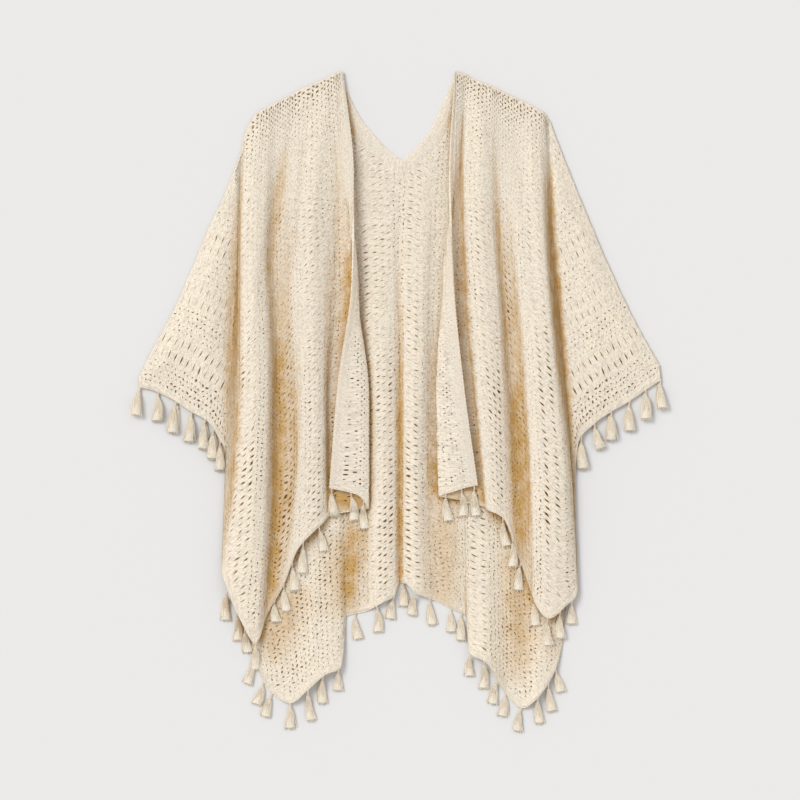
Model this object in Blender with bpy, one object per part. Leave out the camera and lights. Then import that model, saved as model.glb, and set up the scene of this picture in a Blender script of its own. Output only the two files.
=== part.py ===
"""Open-lace knitted kimono wrap with tassels, laid flat on its back.

The wrap is a wide rectangle of knitting, folded at the shoulders, with an open front
and a V cut into the back of the neck. It lies in the XY plane with its shoulders
toward +Y and rests on z = 0. The origin is under the middle of the laid garment.

Every panel is a net of fold lines that run from the shoulder fold down to the hem.
Each row of a panel's table is one crest, trough or edge: where it starts and ends,
and its place across and its height at five stations on the way down.
All sizes in the tables are millimetres.
"""

from collections import namedtuple

import bmesh
import bpy
import numpy as np
from mathutils import Vector
from mathutils.bvhtree import BVHTree

MM = 0.001

WALL = 2.0               # thickness of the knitted cloth
SEAM_GAP = 0.3           # clearance where two pieces are joined
STATIONS = 4             # spans between the five stations of a fold line
FRONT_ROWS = 12          # faces from shoulder to hem on a front
BACK_ROWS = 10           # faces from shoulder to hem on the back
FRONT_STEPS = 2          # faces between two fold lines of a front
SMOOTH_ANGLE = 1.0       # radians; sharper edges stay creased

FRINGE_HEADER = 2.2      # width of the looped edge that carries the tassels
CORD_SLOT = 2.6          # width of header that one tassel's cord takes
CORNER_ROOM = 0.7        # a slot nearer than this to a corner of the hem starts at the corner
TWIST_ROOM = 1.2         # extra clearance of the header where the hem's edge twists
LAY_CLEARANCE = 0.4      # height of a tassel above the cloth it lies on
SIDE_CLEARANCE = 1.6     # room between a tassel's side and a steep stretch of header
TASSEL = (               # how far along, half width and half height of each section
    (0.28, 1.3, 1.2),
    (0.34, 3.0, 2.4),
    (0.46, 3.0, 2.4),
    (1.00, 4.6, 3.0),
)

CREAM = (0.83, 0.74, 0.58)
PALE_CREAM = (0.86, 0.78, 0.64)

Fold = namedtuple("Fold", "name y_top y_hem x height")
Tassel = namedtuple("Tassel", "x y tip_x tip_y")

# The fronts' heights are to the middle of the cloth, the back's to its underside.
FRONT_LEFT = (
    Fold("sleeve_tip", 32, 21, (-364, -364, -364, -364, -364), (3.3, 4, 4, 4, 4)),
    Fold("sleeve_1", 69, 17, (-346, -346, -346, -346, -346), (3.3, 5, 6, 5, 4)),
    Fold("sleeve_2", 120, 4, (-318, -318, -318, -318, -318), (3.3, 7, 9, 7, 5)),
    Fold("sleeve_3", 183, -13, (-290, -290, -290, -292, -292), (3.3, 9, 11, 9, 6)),
    Fold("sleeve_4", 245, -27, (-264, -264, -265, -267, -268), (3.3, 10, 12, 11, 7)),
    Fold("arm_trough_side", 287, -50, (-244, -244, -246, -248, -253), (3.3, 8, 9, 9, 6)),
    Fold("arm_trough", 323, -76, (-230, -227, -232, -237, -243), (3.3, 5, 4.6, 4.6, 4.6)),
    Fold("column_1_foot", 351, -231, (-220, -223, -225, -232, -248), (3.3, 9, 9, 9, 8)),
    Fold("column_1_left", 377, -259, (-214, -218, -218, -226, -241), (3.3, 20, 23, 23, 14)),
    Fold("column_1_crest", 403, -304, (-197, -205, -202, -209, -222), (3.3, 23, 28, 29, 17)),
    Fold("column_1_right", 409, -337, (-186, -191, -186, -191, -201), (3.3, 19, 24, 26, 15)),
    Fold("trough_1", 416, -295, (-173, -176, -172, -172, -184), (3.3, 8, 6, 5.5, 7)),
    Fold("column_2_foot", 423, -256, (-160, -160, -156, -149, -162), (3.3, 12, 11, 9, 9)),
    Fold("column_2_left", 431, -204, (-145, -146, -141, -136, -141), (3.3, 18, 20, 20, 15)),
    Fold("column_2_crest", 441, -183, (-125, -128, -122, -120, -122), (3.3, 20, 24, 24, 17)),
    Fold("column_2_right", 448, -169, (-108, -107, -104, -106, -107), (3.3, 15, 17, 17, 13)),
    Fold("trough_2", 454, -158, (-96, -88, -86, -97, -96), (3.3, 9, 8, 7, 7)),
    Fold("under_flap", 456, -153, (-90, -82, -74, -69, -69), (3.3, 12, 11, 8, 7)),
    Fold("opening_fold", 458, -150, (-88, -79, -62, -43, -43), (3.3, 13.5, 14, 14, 10)),
    Fold("flap_middle", 459, -130, (-85, -76, -58, -55, -58), (3.3, 15, 17, 19, 14)),
    Fold("band_seam", 460, -123, (-83, -74, -59, -71, -83), (3.3, 16, 20.5, 21, 15)),
    Fold("opening_edge", 461, -120, (-79, -64, -66, -86, -98), (3.3, 18, 26.5, 22, 15)),
)

FRONT_RIGHT = (
    Fold("opening_edge", 461, -116, (78, 70, 75, 89, 109), (3.3, 18.5, 25, 22, 15)),
    Fold("band_seam", 460, -119, (80, 75.5, 65, 75, 94), (3.3, 14, 18.5, 20, 15)),
    Fold("flap_middle", 459, -125, (83, 78, 61, 62, 75), (3.3, 11.5, 15.5, 18, 14)),
    Fold("opening_fold", 458, -132, (85, 79.5, 62, 52, 55), (3.3, 10, 12, 13, 9)),
    Fold("under_flap", 457, -139, (88, 81.5, 71, 74, 85), (3.3, 8.5, 8.5, 8, 7)),
    Fold("trough_2", 456, -146, (92, 86, 87, 100, 118), (3.3, 6.5, 7, 7, 7)),
    Fold("column_2_left", 451, -151, (100, 93, 99, 111, 124), (3.3, 16, 19, 19, 14)),
    Fold("column_2_crest", 445, -155, (113, 107, 115, 127, 134), (3.3, 19, 24, 24, 17)),
    Fold("column_2_right", 440, -162, (127, 125, 135, 142, 145), (3.3, 16, 19, 19, 14)),
    Fold("trough_1", 433, -223, (141, 141, 150, 164, 169), (3.3, 12, 9, 6, 7)),
    Fold("column_1_foot", 426, -265, (156, 156, 167, 178, 184), (3.3, 15, 13, 10, 9)),
    Fold("column_1_left", 421, -284, (166, 164, 177, 187, 191), (3.3, 20, 23, 24, 15)),
    Fold("column_1_crest", 414, -302, (181, 183, 197, 208, 209), (3.3, 23, 28, 29, 17)),
    Fold("column_1_right", 407, -284, (194, 200, 214, 229, 233), (3.3, 20, 24, 24, 14)),
    Fold("column_1_side", 403, -265, (201, 206, 220, 239, 248), (3.3, 10, 10, 10, 8)),
    Fold("arm_trough", 391, -119, (209, 213, 223, 234, 246), (3.3, 4.8, 4.6, 4.6, 4.6)),
    Fold("arm_trough_side", 365, -55, (219, 222, 229, 240, 251), (3.3, 13, 13, 12, 7)),
    Fold("sleeve_4", 304, -32, (243, 250, 257, 264, 270), (3.3, 12, 14, 12, 7)),
    Fold("sleeve_3", 246, -14, (267, 275, 282, 289, 295), (3.3, 10, 12, 10, 6)),
    Fold("sleeve_2", 172, 1, (299, 304, 310, 316, 321), (3.3, 7, 9, 7, 5)),
    Fold("sleeve_1", 104, 17, (332, 335, 338, 341, 344), (3.3, 5, 6, 5, 4)),
    Fold("sleeve_tip", 49, 31, (363, 364, 365, 365, 365), (3.3, 4, 4, 4, 4)),
)

BACK = (
    Fold("sleeve_tip_left", 31, 24, (-362, -362, -362, -362, -362), (0, 0, 0, 0, 0)),
    Fold("sleeve_2_left", 119, 7, (-317, -317, -317, -317, -317), (0, 0, 0, 0, 0)),
    Fold("sleeve_3_left", 182, -10, (-289, -289, -289, -290, -290), (0, 0, 0, 0, 0)),
    Fold("sleeve_4_left", 244, -24, (-262, -262, -264, -265, -267), (0, 0, 0, 0, 0)),
    Fold("arm_left", 321, -71, (-230, -229, -232, -237, -244), (0, 0, 0, 0, 0)),
    Fold("side_left", 374, -356, (-212, -223, -226, -226, -204), (0, 0, 0, 0, 0)),
    Fold("corner_left", 407, -405, (-184, -192, -198, -201, -181), (0, 0, 0, 0, 0)),
    Fold("corner_point_left", 423, -421, (-160, -167, -170, -170, -153), (0, 0, 0, 0, 5)),
    Fold("low_ridge_left", 438, -402, (-128, -139, -142, -139, -128), (0, 0, 0, 2, 11)),
    Fold("low_crest_left", 449, -381, (-106, -111, -114, -111, -104), (0, 0, 0, 2, 13)),
    Fold("low_edge_left", 452, -371, (-99, -94, -90, -86, -82), (0, 0, 0, 1.5, 8)),
    Fold("low_step_left", 427, -300, (-90, -83, -79, -76, -74), (0, 0, 0, 0, 0)),
    Fold("shade_left", 377, -293, (-68, -61, -55, -50, -47), (0, 0, 0, 0, 0)),
    Fold("ridge_a_left", 358, -287, (-52, -47, -41, -37, -36), (0, 3, 6, 6, 5)),
    Fold("ridge_a", 342, -279, (-30, -26, -24, -23, -22), (0, 5, 10, 11, 9)),
    Fold("ridge_a_right", 325, -272, (-12, -10, -9, -8, -8), (0, 3, 5, 6, 6)),
    Fold("crease_1", 315, -253, (2, -1, 1, 1, 1), (0, 0, 0, 0, 0)),
    Fold("ridge_b_left", 321, -253, (12, 9, 9, 8, 8), (0, 4, 6, 7, 7)),
    Fold("ridge_b", 333, -267, (26, 22, 20, 20, 23), (0, 5, 10, 11, 10)),
    Fold("ridge_b_right", 346, -273, (40, 36, 34, 34, 38), (0, 3, 5, 5, 5)),
    Fold("crease_2", 361, -279, (55, 48, 46, 46, 52), (0, 0, 0, 0, 0)),
    Fold("shade_right", 386, -290, (69, 64, 62, 64, 74), (0, 0, 0, 0, 0)),
    Fold("low_step_right", 433, -300, (90, 88, 88, 89, 93), (0, 0, 0, 0, 0)),
    Fold("low_edge_right", 452, -351, (99, 96, 96, 96, 99), (0, 0, 0, 1.5, 7)),
    Fold("low_crest_1", 445, -363, (113, 113, 114, 117, 120), (0, 0, 0, 2, 12)),
    Fold("low_crease_right", 435, -412, (136, 139, 144, 149, 152), (0, 0, 0, 0, 0)),
    Fold("corner_point_right", 426, -428, (155, 160, 166, 169, 172), (0, 0, 0, 0, 3)),
    Fold("low_crest_2", 416, -412, (177, 183, 188, 191, 194), (0, 0, 0, 3, 12)),
    Fold("corner_right", 406, -372, (197, 205, 214, 219, 219), (0, 0, 0, 0, 5)),
    Fold("side_right", 392, -335, (208, 219, 227, 230, 229), (0, 0, 0, 0, 0)),
    Fold("arm_right", 364, -50, (219, 223, 230, 240, 250), (0, 0, 0, 0, 0)),
    Fold("sleeve_4_right", 302, -29, (241, 248, 255, 262, 268), (0, 0, 0, 0, 0)),
    Fold("sleeve_3_right", 245, -11, (265, 274, 281, 288, 293), (0, 0, 0, 0, 0)),
    Fold("sleeve_2_right", 171, 4, (298, 303, 309, 314, 320), (0, 0, 0, 0, 0)),
    Fold("sleeve_tip_right", 48, 34, (362, 363, 363, 363, 363), (0, 0, 0, 0, 0)),
)

# The free edge of the back neck band, one point for each fold line that it crosses.
NECK_FIRST = "low_edge_left"
NECK_LAST = "low_edge_right"
NECK_EDGE = (
    (-81, 459), (-75, 438), (-54, 395), (-39, 376), (-18, 353), (-4, 342), (4, 337),
    (10, 342), (17, 348), (28, 359), (40, 374), (53, 399), (72, 444), (80, 459),
)

# Where each tassel's cord leaves the edge, and where its tip lies.
SLEEVE_LEFT_TASSELS = (
    Tassel(-363, 21, -368, -20),
    Tassel(-337, 14, -340, -28),
    Tassel(-312, 0, -317, -45),
    Tassel(-290, -11, -295, -57),
    Tassel(-271, -22, -275, -67),
    Tassel(-257, -35, -262, -81),
    Tassel(-250, -53, -251, -97),
)
SLEEVE_RIGHT_TASSELS = (
    Tassel(365, 31, 368, -10),
    Tassel(344, 17, 344, -25),
    Tassel(321, 3, 323, -42),
    Tassel(296, -14, 296, -55),
    Tassel(272, -31, 281, -67),
    Tassel(255, -49, 257, -95),
)
FRONT_LEFT_TASSELS = (
    Tassel(-240, -263, -243, -307),
    Tassel(-227, -294, -227, -335),
    Tassel(-215, -316, -211, -352),
    Tassel(-201, -337, -202, -376),
    Tassel(-173, -279, -173, -309),
    Tassel(-160, -256, -158, -294),
    Tassel(-149, -225, -146, -265),
    Tassel(-135, -195, -136, -241),
    Tassel(-113, -175, -106, -210),
)
FLAP_LEFT_TASSELS = (
    Tassel(-94, -120, -90, -162),
    Tassel(-69, -126, -64, -167),
    Tassel(-52, -139, -48, -179),
)
FRONT_RIGHT_TASSELS = (
    Tassel(145, -162, 150, -203),
    Tassel(158, -190, 158, -232),
    Tassel(170, -225, 167, -265),
    Tassel(187, -276, 190, -314),
    Tassel(206, -302, 208, -342),
    Tassel(225, -293, 225, -332),
    Tassel(239, -276, 241, -312),
)
FLAP_RIGHT_TASSELS = (
    Tassel(65, -129, 69, -168),
    Tassel(86, -122, 89, -161),
    Tassel(105, -117, 108, -161),
)
BACK_LEFT_TASSELS = (
    Tassel(-200, -366, -213, -396),
    Tassel(-190, -392, -201, -424),
    Tassel(-177, -407, -187, -442),
    Tassel(-153, -421, -153, -458),
    Tassel(-127, -402, -124, -447),
    Tassel(-106, -383, -108, -423),
    Tassel(-86, -373, -86, -405),
)
BACK_CENTRE_TASSELS = (
    Tassel(-62, -297, -57, -333),
    Tassel(-33, -284, -30, -323),
    Tassel(-8, -272, -12, -305),
    Tassel(5, -253, 6, -287),
    Tassel(23, -267, 17, -300),
    Tassel(43, -275, 46, -313),
    Tassel(72, -289, 73, -323),
    Tassel(86, -297, 86, -335),
)
BACK_RIGHT_TASSELS = (
    Tassel(100, -353, 98, -385),
    Tassel(118, -362, 117, -402),
    Tassel(135, -390, 131, -424),
    Tassel(148, -408, 144, -441),
    Tassel(170, -428, 165, -462),
    Tassel(192, -412, 196, -451),
    Tassel(206, -393, 213, -434),
    Tassel(218, -374, 226, -407),
)


def through(values, at):
    """Read a smooth curve through evenly spaced values, one that never overshoots them."""
    values = np.asarray(values, float)
    rise = np.diff(values, axis=0)
    total = rise[:-1] + rise[1:]
    product = rise[:-1] * rise[1:]
    slope = np.zeros_like(values)
    slope[1:-1] = np.where(product > 0, 2 * product / np.where(product > 0, total, 1), 0)
    slope[0] = rise[0]
    slope[-1] = rise[-1]
    at = np.asarray(at, float)
    span = np.clip(np.floor(at).astype(int), 0, len(values) - 2)
    f = (at - span).reshape((-1,) + (1,) * (values.ndim - 1))
    start = values[span] * (1 + 2 * f) * (1 - f) ** 2 + slope[span] * f * (1 - f) ** 2
    end = values[span + 1] * f * f * (3 - 2 * f) + slope[span + 1] * f * f * (f - 1)
    return start + end


def cloth(folds, across, down):
    """Points of a panel: across counts fold lines, down goes from 0 at the top to 1 at the hem."""
    down = np.asarray(down, float)
    x = through(np.array([fold.x for fold in folds]).T, down * STATIONS).T
    height = through(np.array([fold.height for fold in folds]).T, down * STATIONS).T
    top = np.array([[fold.y_top] for fold in folds], float)
    hem = np.array([[fold.y_hem] for fold in folds], float)
    y = top + (hem - top) * down
    return through(np.stack([x, y, height], axis=-1), across)


def unit(vectors):
    return vectors / np.linalg.norm(vectors, axis=-1, keepdims=True)


def cloth_normals(folds, across, down):
    """Unit normals of a panel, upward where it lies flat."""
    step = 0.02
    last = len(folds) - 1
    left = cloth(folds, np.clip(across - step, 0, last), down)
    right = cloth(folds, np.clip(across + step, 0, last), down)
    above = cloth(folds, across, np.clip(down - step, 0, 1))
    below = cloth(folds, across, np.clip(down + step, 0, 1))
    return unit(np.cross(right - left, above - below))


def fold_number(folds, name):
    return [fold.name for fold in folds].index(name)


def add_wall(shape, low, high):
    """Add both skins and the four rims of a wall to a bmesh."""
    lower = [[shape.verts.new(Vector(p) * MM) for p in line] for line in low]
    upper = [[shape.verts.new(Vector(p) * MM) for p in line] for line in high]
    for skin in (lower, upper):
        for line, following in zip(skin, skin[1:]):
            for a, b, c, d in zip(line, following, following[1:], line[1:]):
                shape.faces.new((a, b, c, d))
    rims = [(lower[i], upper[i]) for i in (0, -1)]
    rims += [([line[j] for line in lower], [line[j] for line in upper]) for j in (0, -1)]
    for under, over in rims:
        # Both sides of a seam are split the same way, so that they stay parallel.
        for a, b, c, d in zip(under, under[1:], over[1:], over):
            shape.faces.new((a, b, c))
            shape.faces.new((a, c, d))


def add_object(name, shape, colour):
    """Make one closed body into a named object with its own material."""
    bmesh.ops.recalc_face_normals(shape, faces=shape.faces)
    if shape.calc_volume(signed=True) < 0:
        bmesh.ops.reverse_faces(shape, faces=shape.faces)
    mesh = bpy.data.meshes.new(name)
    shape.to_mesh(mesh)
    shape.free()
    mesh.shade_smooth()
    mesh.set_sharp_from_angle(angle=SMOOTH_ANGLE)
    material = bpy.data.materials.new(name + "_yarn")
    material.use_nodes = True
    surface = material.node_tree.nodes["Principled BSDF"]
    surface.inputs["Base Color"].default_value = (*colour, 1.0)
    surface.inputs["Roughness"].default_value = 0.9
    surface.inputs["Metallic"].default_value = 0.0
    mesh.materials.append(material)
    body = bpy.data.objects.new(name, mesh)
    bpy.context.scene.collection.objects.link(body)
    return body


def wall(name, low, high, colour):
    """A closed wall between two grids of points."""
    shape = bmesh.new()
    add_wall(shape, low, high)
    return add_object(name, shape, colour)


def surface_below(bodies, reach=100.0):
    """A function that gives the height of the topmost of some bodies under a point."""
    trees = []
    for body in bodies:
        corners = [vertex.co / MM for vertex in body.data.vertices]
        body.data.calc_loop_triangles()
        faces = [tuple(face.vertices) for face in body.data.loop_triangles]
        trees.append(BVHTree.FromPolygons(corners, faces))

    def height(x, y):
        found = 0.0
        for tree in trees:
            hit = tree.ray_cast(Vector((x, y, reach)), Vector((0, 0, -1)))[0]
            if hit is not None:
                found = max(found, hit.z + LAY_CLEARANCE)
        return found

    return height


def resample_hem(edge, outward, up, tassels):
    """Stations of a fringe header: the hem's own points, and both sides of each tassel's cord."""
    length = np.concatenate([[0], np.cumsum(np.linalg.norm(np.diff(edge, axis=0), axis=1))])
    slots = []
    for tassel in tassels:
        reach = np.linspace(0, length[-1], 2000)
        plan = np.stack([np.interp(reach, length, edge[:, k]) for k in (0, 1)], axis=1)
        place = reach[np.argmin(np.hypot(plan[:, 0] - tassel.x, plan[:, 1] - tassel.y))]
        place = min(max(place, CORD_SLOT), length[-1] - CORD_SLOT)
        corner = length[np.argmin(np.abs(length - place))]
        if abs(corner - place) < CORD_SLOT / 2 + CORNER_ROOM:
            place = corner + (CORD_SLOT / 2 if place >= corner else -CORD_SLOT / 2)
        slots.append((place - CORD_SLOT / 2, place + CORD_SLOT / 2, tassel))
    slots.sort(key=lambda slot: slot[0])
    near = 0.01
    stations = [
        (at, None) for at in length if all(not s[0] - near < at < s[1] + near for s in slots)
    ]
    for start, end, tassel in slots:
        stations += [(start, tassel), (end, None)]
    stations.sort(key=lambda station: station[0])
    at = np.array([station[0] for station in stations])

    def read(values):
        return np.stack([np.interp(at, length, values[:, k]) for k in range(3)], axis=1)

    return read(edge), unit(read(outward)), unit(read(up)), [station[1] for station in stations]


def add_tassel(shape, quad, outward, tassel, height_under):
    """Draw a cord, its wrapped neck and the flared skirt out of one face of the header."""
    start = sum((corner.co for corner in quad), Vector()) / 4 / MM
    tip = Vector((tassel.tip_x, tassel.tip_y, 0))
    run = Vector((tip.x - start.x, tip.y - start.y, 0))
    side = Vector((-run.y, run.x, 0)).normalized()
    if outward.cross(quad[1].co - quad[0].co).z < 0:
        side.negate()
    lift = Vector((0, 0, 1 if quad[3].co.z >= quad[0].co.z else -1))
    ring = quad
    ends = [0.0] + [section[0] for section in TASSEL] + [1.05]
    for number, (along, half_width, half_height) in enumerate(TASSEL):
        middle = start + run * along
        middle += outward * max(0.0, half_width + SIDE_CLEARANCE - (middle - start).dot(outward))
        under = 0.0
        for back in np.linspace(ends[number], ends[number + 2], 9):
            for offset in (-half_width, 0, half_width):
                spot = start + run * float(back) + side * offset
                under = max(under, height_under(spot.x, spot.y))
        middle.z = max(start.z * (1 - along) ** 2, under + half_height)
        reach = side * half_width
        rise = lift * half_height
        corners = (
            middle - reach - rise,
            middle + reach - rise,
            middle + reach + rise,
            middle - reach + rise,
        )
        following = [shape.verts.new(corner * MM) for corner in corners]
        for k in range(4):
            shape.faces.new((ring[k], ring[(k + 1) % 4], following[(k + 1) % 4], following[k]))
        ring = following
    shape.faces.new(ring)


def fringe(name, edge, outward, up, half_below, half_above, tassels, supports):
    """A looped header along a hem with its tassels, as one closed comb."""
    height_under = surface_below(supports)
    twist = np.linalg.norm(np.gradient(up, axis=0), axis=1, keepdims=True)
    edge = edge + outward * (SEAM_GAP + TWIST_ROOM * twist)
    inner, outward, up, marks = resample_hem(edge, outward, up, tassels)
    shape = bmesh.new()
    outer = inner + outward * FRINGE_HEADER
    layers = (
        inner - up * half_below,
        outer - up * half_below,
        outer + up * half_above,
        inner + up * half_above,
    )
    rings = [[shape.verts.new(Vector(layer[i]) * MM) for layer in layers] for i in range(len(inner))]
    for i, (ring, following) in enumerate(zip(rings, rings[1:])):
        for k in (0, 2, 3):
            shape.faces.new((ring[k], ring[(k + 1) % 4], following[(k + 1) % 4], following[k]))
        quad = (ring[1], following[1], following[2], ring[2])
        if marks[i] is None:
            shape.faces.new(quad)
        else:
            flat_out = Vector((outward[i][0], outward[i][1], 0)).normalized()
            add_tassel(shape, quad, flat_out, marks[i], height_under)
    shape.faces.new(rings[0])
    shape.faces.new(rings[-1])
    return add_object(name, shape, PALE_CREAM)


def hem_directions(edge, up, rows_above):
    """Directions that point out of the cloth at its hem, square to the edge."""
    along = np.gradient(edge, axis=0)
    out = unit(np.cross(along, up))
    flip = np.sum(out * (edge - rows_above), axis=1, keepdims=True) < 0
    return np.where(flip, -out, out)


def build_back():
    """The back panel, the band of its neckline and its fringes."""
    first = fold_number(BACK, NECK_FIRST)
    last = fold_number(BACK, NECK_LAST)
    across = np.arange(len(BACK), dtype=float)
    down = np.linspace(0, 1, BACK_ROWS + 1)
    under = cloth(BACK, across, down)
    rise = np.array([0, 0, WALL])
    back = wall("back_panel", under, under + rise, CREAM)

    seam = under[first:last + 1, 0]
    free = np.array([(x, y, 0.0) for x, y in NECK_EDGE])
    inner = seam + unit(free - seam) * SEAM_GAP
    band = np.stack([free, inner], axis=1)
    neck_band = wall("neck_band_back", band, band + rise, PALE_CREAM)

    edge = under[:, -1]
    up = np.tile([0.0, 0.0, 1.0], (len(edge), 1))
    outward = hem_directions(edge, up, under[:, -2])
    supports = [back]
    stretches = (
        ("fringe_back_sleeve_left", "sleeve_tip_left", "arm_left", SLEEVE_LEFT_TASSELS),
        ("fringe_back_left", "side_left", "low_edge_left", BACK_LEFT_TASSELS),
        ("fringe_back_centre", "low_step_left", "low_step_right", BACK_CENTRE_TASSELS),
        ("fringe_back_right", "low_edge_right", "side_right", BACK_RIGHT_TASSELS),
        ("fringe_back_sleeve_right", "arm_right", "sleeve_tip_right", SLEEVE_RIGHT_TASSELS),
    )
    fringes = []
    for name, start, end, tassels in stretches:
        part = slice(fold_number(BACK, start), fold_number(BACK, end) + 1)
        fringes.append(fringe(name, edge[part], outward[part], up[part], 0.0, WALL, tassels, supports))
    return [back, neck_band] + fringes


def build_front(side, folds, stretches, supports):
    """One front with its sleeve, its turned opening edge, edge band and fringes."""
    seam = fold_number(folds, "band_seam")
    across = np.linspace(0, len(folds) - 1, (len(folds) - 1) * FRONT_STEPS + 1)
    down = np.linspace(0, 1, FRONT_ROWS + 1)
    middle = cloth(folds, across, down)
    up = cloth_normals(folds, across, down)
    if side == "left":
        panel = slice(0, seam * FRONT_STEPS + 1)
        band = slice(seam * FRONT_STEPS, None)
        seam_column = 0
    else:
        panel = slice(seam * FRONT_STEPS, None)
        band = slice(0, seam * FRONT_STEPS + 1)
        seam_column = -1
    band_middle = middle[band].copy()
    inward = 1 if seam_column == 0 else -2
    band_middle[seam_column] += unit(band_middle[inward] - band_middle[seam_column]) * SEAM_GAP
    half = up * WALL / 2
    front = wall("front_" + side, middle[panel] - half[panel], middle[panel] + half[panel], CREAM)
    edge_band = wall(
        "edge_band_" + side, band_middle - half[band], band_middle + half[band], PALE_CREAM
    )

    edge = middle[:, -1]
    outward = hem_directions(edge, up[:, -1], middle[:, -2])
    bodies = [front, edge_band]
    for name, start, end, tassels in stretches:
        first = fold_number(folds, start) * FRONT_STEPS
        last = fold_number(folds, end) * FRONT_STEPS
        part = slice(first, last + 1)
        bodies.append(fringe(
            name, edge[part], outward[part], up[part, -1], WALL / 2, WALL / 2, tassels,
            supports + bodies[:2],
        ))
    return bodies


def main():
    for leftover in list(bpy.data.objects):
        bpy.data.objects.remove(leftover, do_unlink=True)
    behind = build_back()
    build_front("left", FRONT_LEFT, (
        ("fringe_sleeve_left", "sleeve_tip", "arm_trough", SLEEVE_LEFT_TASSELS),
        ("fringe_front_left", "column_1_foot", "under_flap", FRONT_LEFT_TASSELS),
        ("fringe_flap_left", "opening_fold", "opening_edge", FLAP_LEFT_TASSELS),
    ), behind)
    build_front("right", FRONT_RIGHT, (
        ("fringe_flap_right", "opening_edge", "opening_fold", FLAP_RIGHT_TASSELS),
        ("fringe_front_right", "under_flap", "column_1_side", FRONT_RIGHT_TASSELS),
        ("fringe_sleeve_right", "arm_trough_side", "sleeve_tip", SLEEVE_RIGHT_TASSELS),
    ), behind)


main()
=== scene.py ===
import math
from collections import namedtuple

import bpy
import numpy as np
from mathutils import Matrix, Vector
from mathutils.bvhtree import BVHTree


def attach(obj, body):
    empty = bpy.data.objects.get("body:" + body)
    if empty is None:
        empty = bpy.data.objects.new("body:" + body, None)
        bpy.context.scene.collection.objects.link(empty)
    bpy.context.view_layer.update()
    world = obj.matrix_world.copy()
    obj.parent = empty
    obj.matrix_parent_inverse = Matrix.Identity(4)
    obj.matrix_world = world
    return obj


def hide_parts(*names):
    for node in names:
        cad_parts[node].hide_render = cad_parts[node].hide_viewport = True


# The looks of an open-lace knitted kimono wrap, laid flat and seen from straight above.
# Each laid panel is a net of fold lines, the same net that its solid is made from. The
# lace is a lattice of cells on that net: one row of cells is one row of stitches, and each
# band of the lattice is either a mesh of small round eyelets or a ladder of long slits.
# All lengths are millimetres until a mesh is made.

MM = 0.001
STATIONS = 4             # spans between the five stations of a fold line
FINE_ACROSS = 16         # spans of a panel's dense grid between two fold lines
FINE_DOWN = 160          # spans of a panel's dense grid from shoulder to hem
UP = np.array([0.0, 0.0, 1.0])
# Third lace coordinate, which keeps the yarn's patterns on these parts apart.
KNOT_LAYER, RIM_LAYER, STRIP_LAYER, TASSEL_LAYER = range(4)

CLOTH = 2.0              # thickness of the knitted cloth
STITCH = 3.2             # height of one row of the lattice; an eyelet takes two rows
ROW_SLOPE = 0.28         # how far the body's rows droop toward the sides
HEM_BAND = 5.0           # width of the dense band along a hem
HEM_OVERLAP = 1.5        # how far the hem band covers the lace
STEEPEST_HEM = 2.4       # most that a hem's slope adds to the height of its band
SHARP_ANGLE = math.radians(60)

# Lace cells. Openness scales the size of a hole: 1 is the size that is given here.
EYELET = 1.55            # radius of an eyelet
SLIT = 1.05              # half width of a slit
WIDE_HOLE = 1.8          # radius of a hole in the coarse lace that lies hidden
SNAP = 0.4               # part of a row within which a corner joins the edge of the lace
CLAMPED = 10 ** 6        # row number of a corner that was moved onto an edge
HOLE_ROOM = 0.5          # least part of a cell that must be left at an edge for a hole
WAVE = 0.6               # how far rows wander
SWAY = 1.0               # how far corners wander sideways
KNOT_RISE = 0.45         # unevenness of the knots between holes
RIM_RISE = 0.25          # rise of the yarn round a hole
BAR_RISE = 0.3           # rise of the bar between two bands of lace
LEAST_GAPE = 0.58        # openness of the tightest cell, and how far others are above it
GAPE_SPREAD = 0.9
GAPE_POWER = 1.4         # most cells are tight and a few are wide
PATCH_ROWS = (0.071, 0.031)      # two waves of openness over the rows and the columns
PATCH_COLUMNS = (0.9, -0.43)
PATCH_LIMITS = (0.12, 1.7)
HEM_CLOSING = 9.0        # holes shrink within this distance of a hem
HEM_GAPE = 0.2           # and this much is left of them there
YOKE_GAPE = 1.1          # how much farther eyelets stand open right by the shoulder
YOKE_DEPTH = 30.0        # and how far down that is felt
EYELET_SPREAD = 0.35     # how far eyelets are from round
EYELET_ROOM = 0.3        # largest half length of a hole, as a part of its cell's width
SLIT_ROOM = 0.4
SLIT_STRETCH = (0.7, 0.3)        # length of a shut slit, and what openness adds to it
SLIT_ENDS = 0.35         # how pointed the ends of a slit are
TALLEST = 0.42           # largest half height of a hole, as a part of its cell's height
SIDE_ROOM = 0.44         # how near a hole's rim may come to the cell's sides
END_ROOM = 0.45          # and to its top and foot
FUNNEL_OPENING = 0.08    # how much wider open holes are on the underside
WIDEST_FUNNEL = 0.85
YOKE_OPEN = (0.7, 0.5, 0.5, 0.5, 0.5)
YOKE_FOOT = 285.0        # the body's ladders start below this line

# How each kind of cell is drawn: the rows that it takes and its width, the half length of
# its slit, how far holes wander, how much their openness changes from patch to patch and
# their slant from hole to hole, and how much of a hole's size is left on the underside.
Kind = namedtuple("Kind", "rows width slit drift patches slants funnel")
KINDS = {
    "mesh": Kind(2, 7.8, None, 1.5, 0.3, 1.6, 0.5),
    "ladder": Kind(3, 10.6, 4.7, 1.6, 0.7, 0.3, 0.4),
    "rungs": Kind(3, 20.0, 7.6, 0.8, 0.25, 0.12, 0.45),
    "wide": Kind(5, 26.0, None, 0.8, 0.2, 1.6, 0.6),
}

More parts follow.
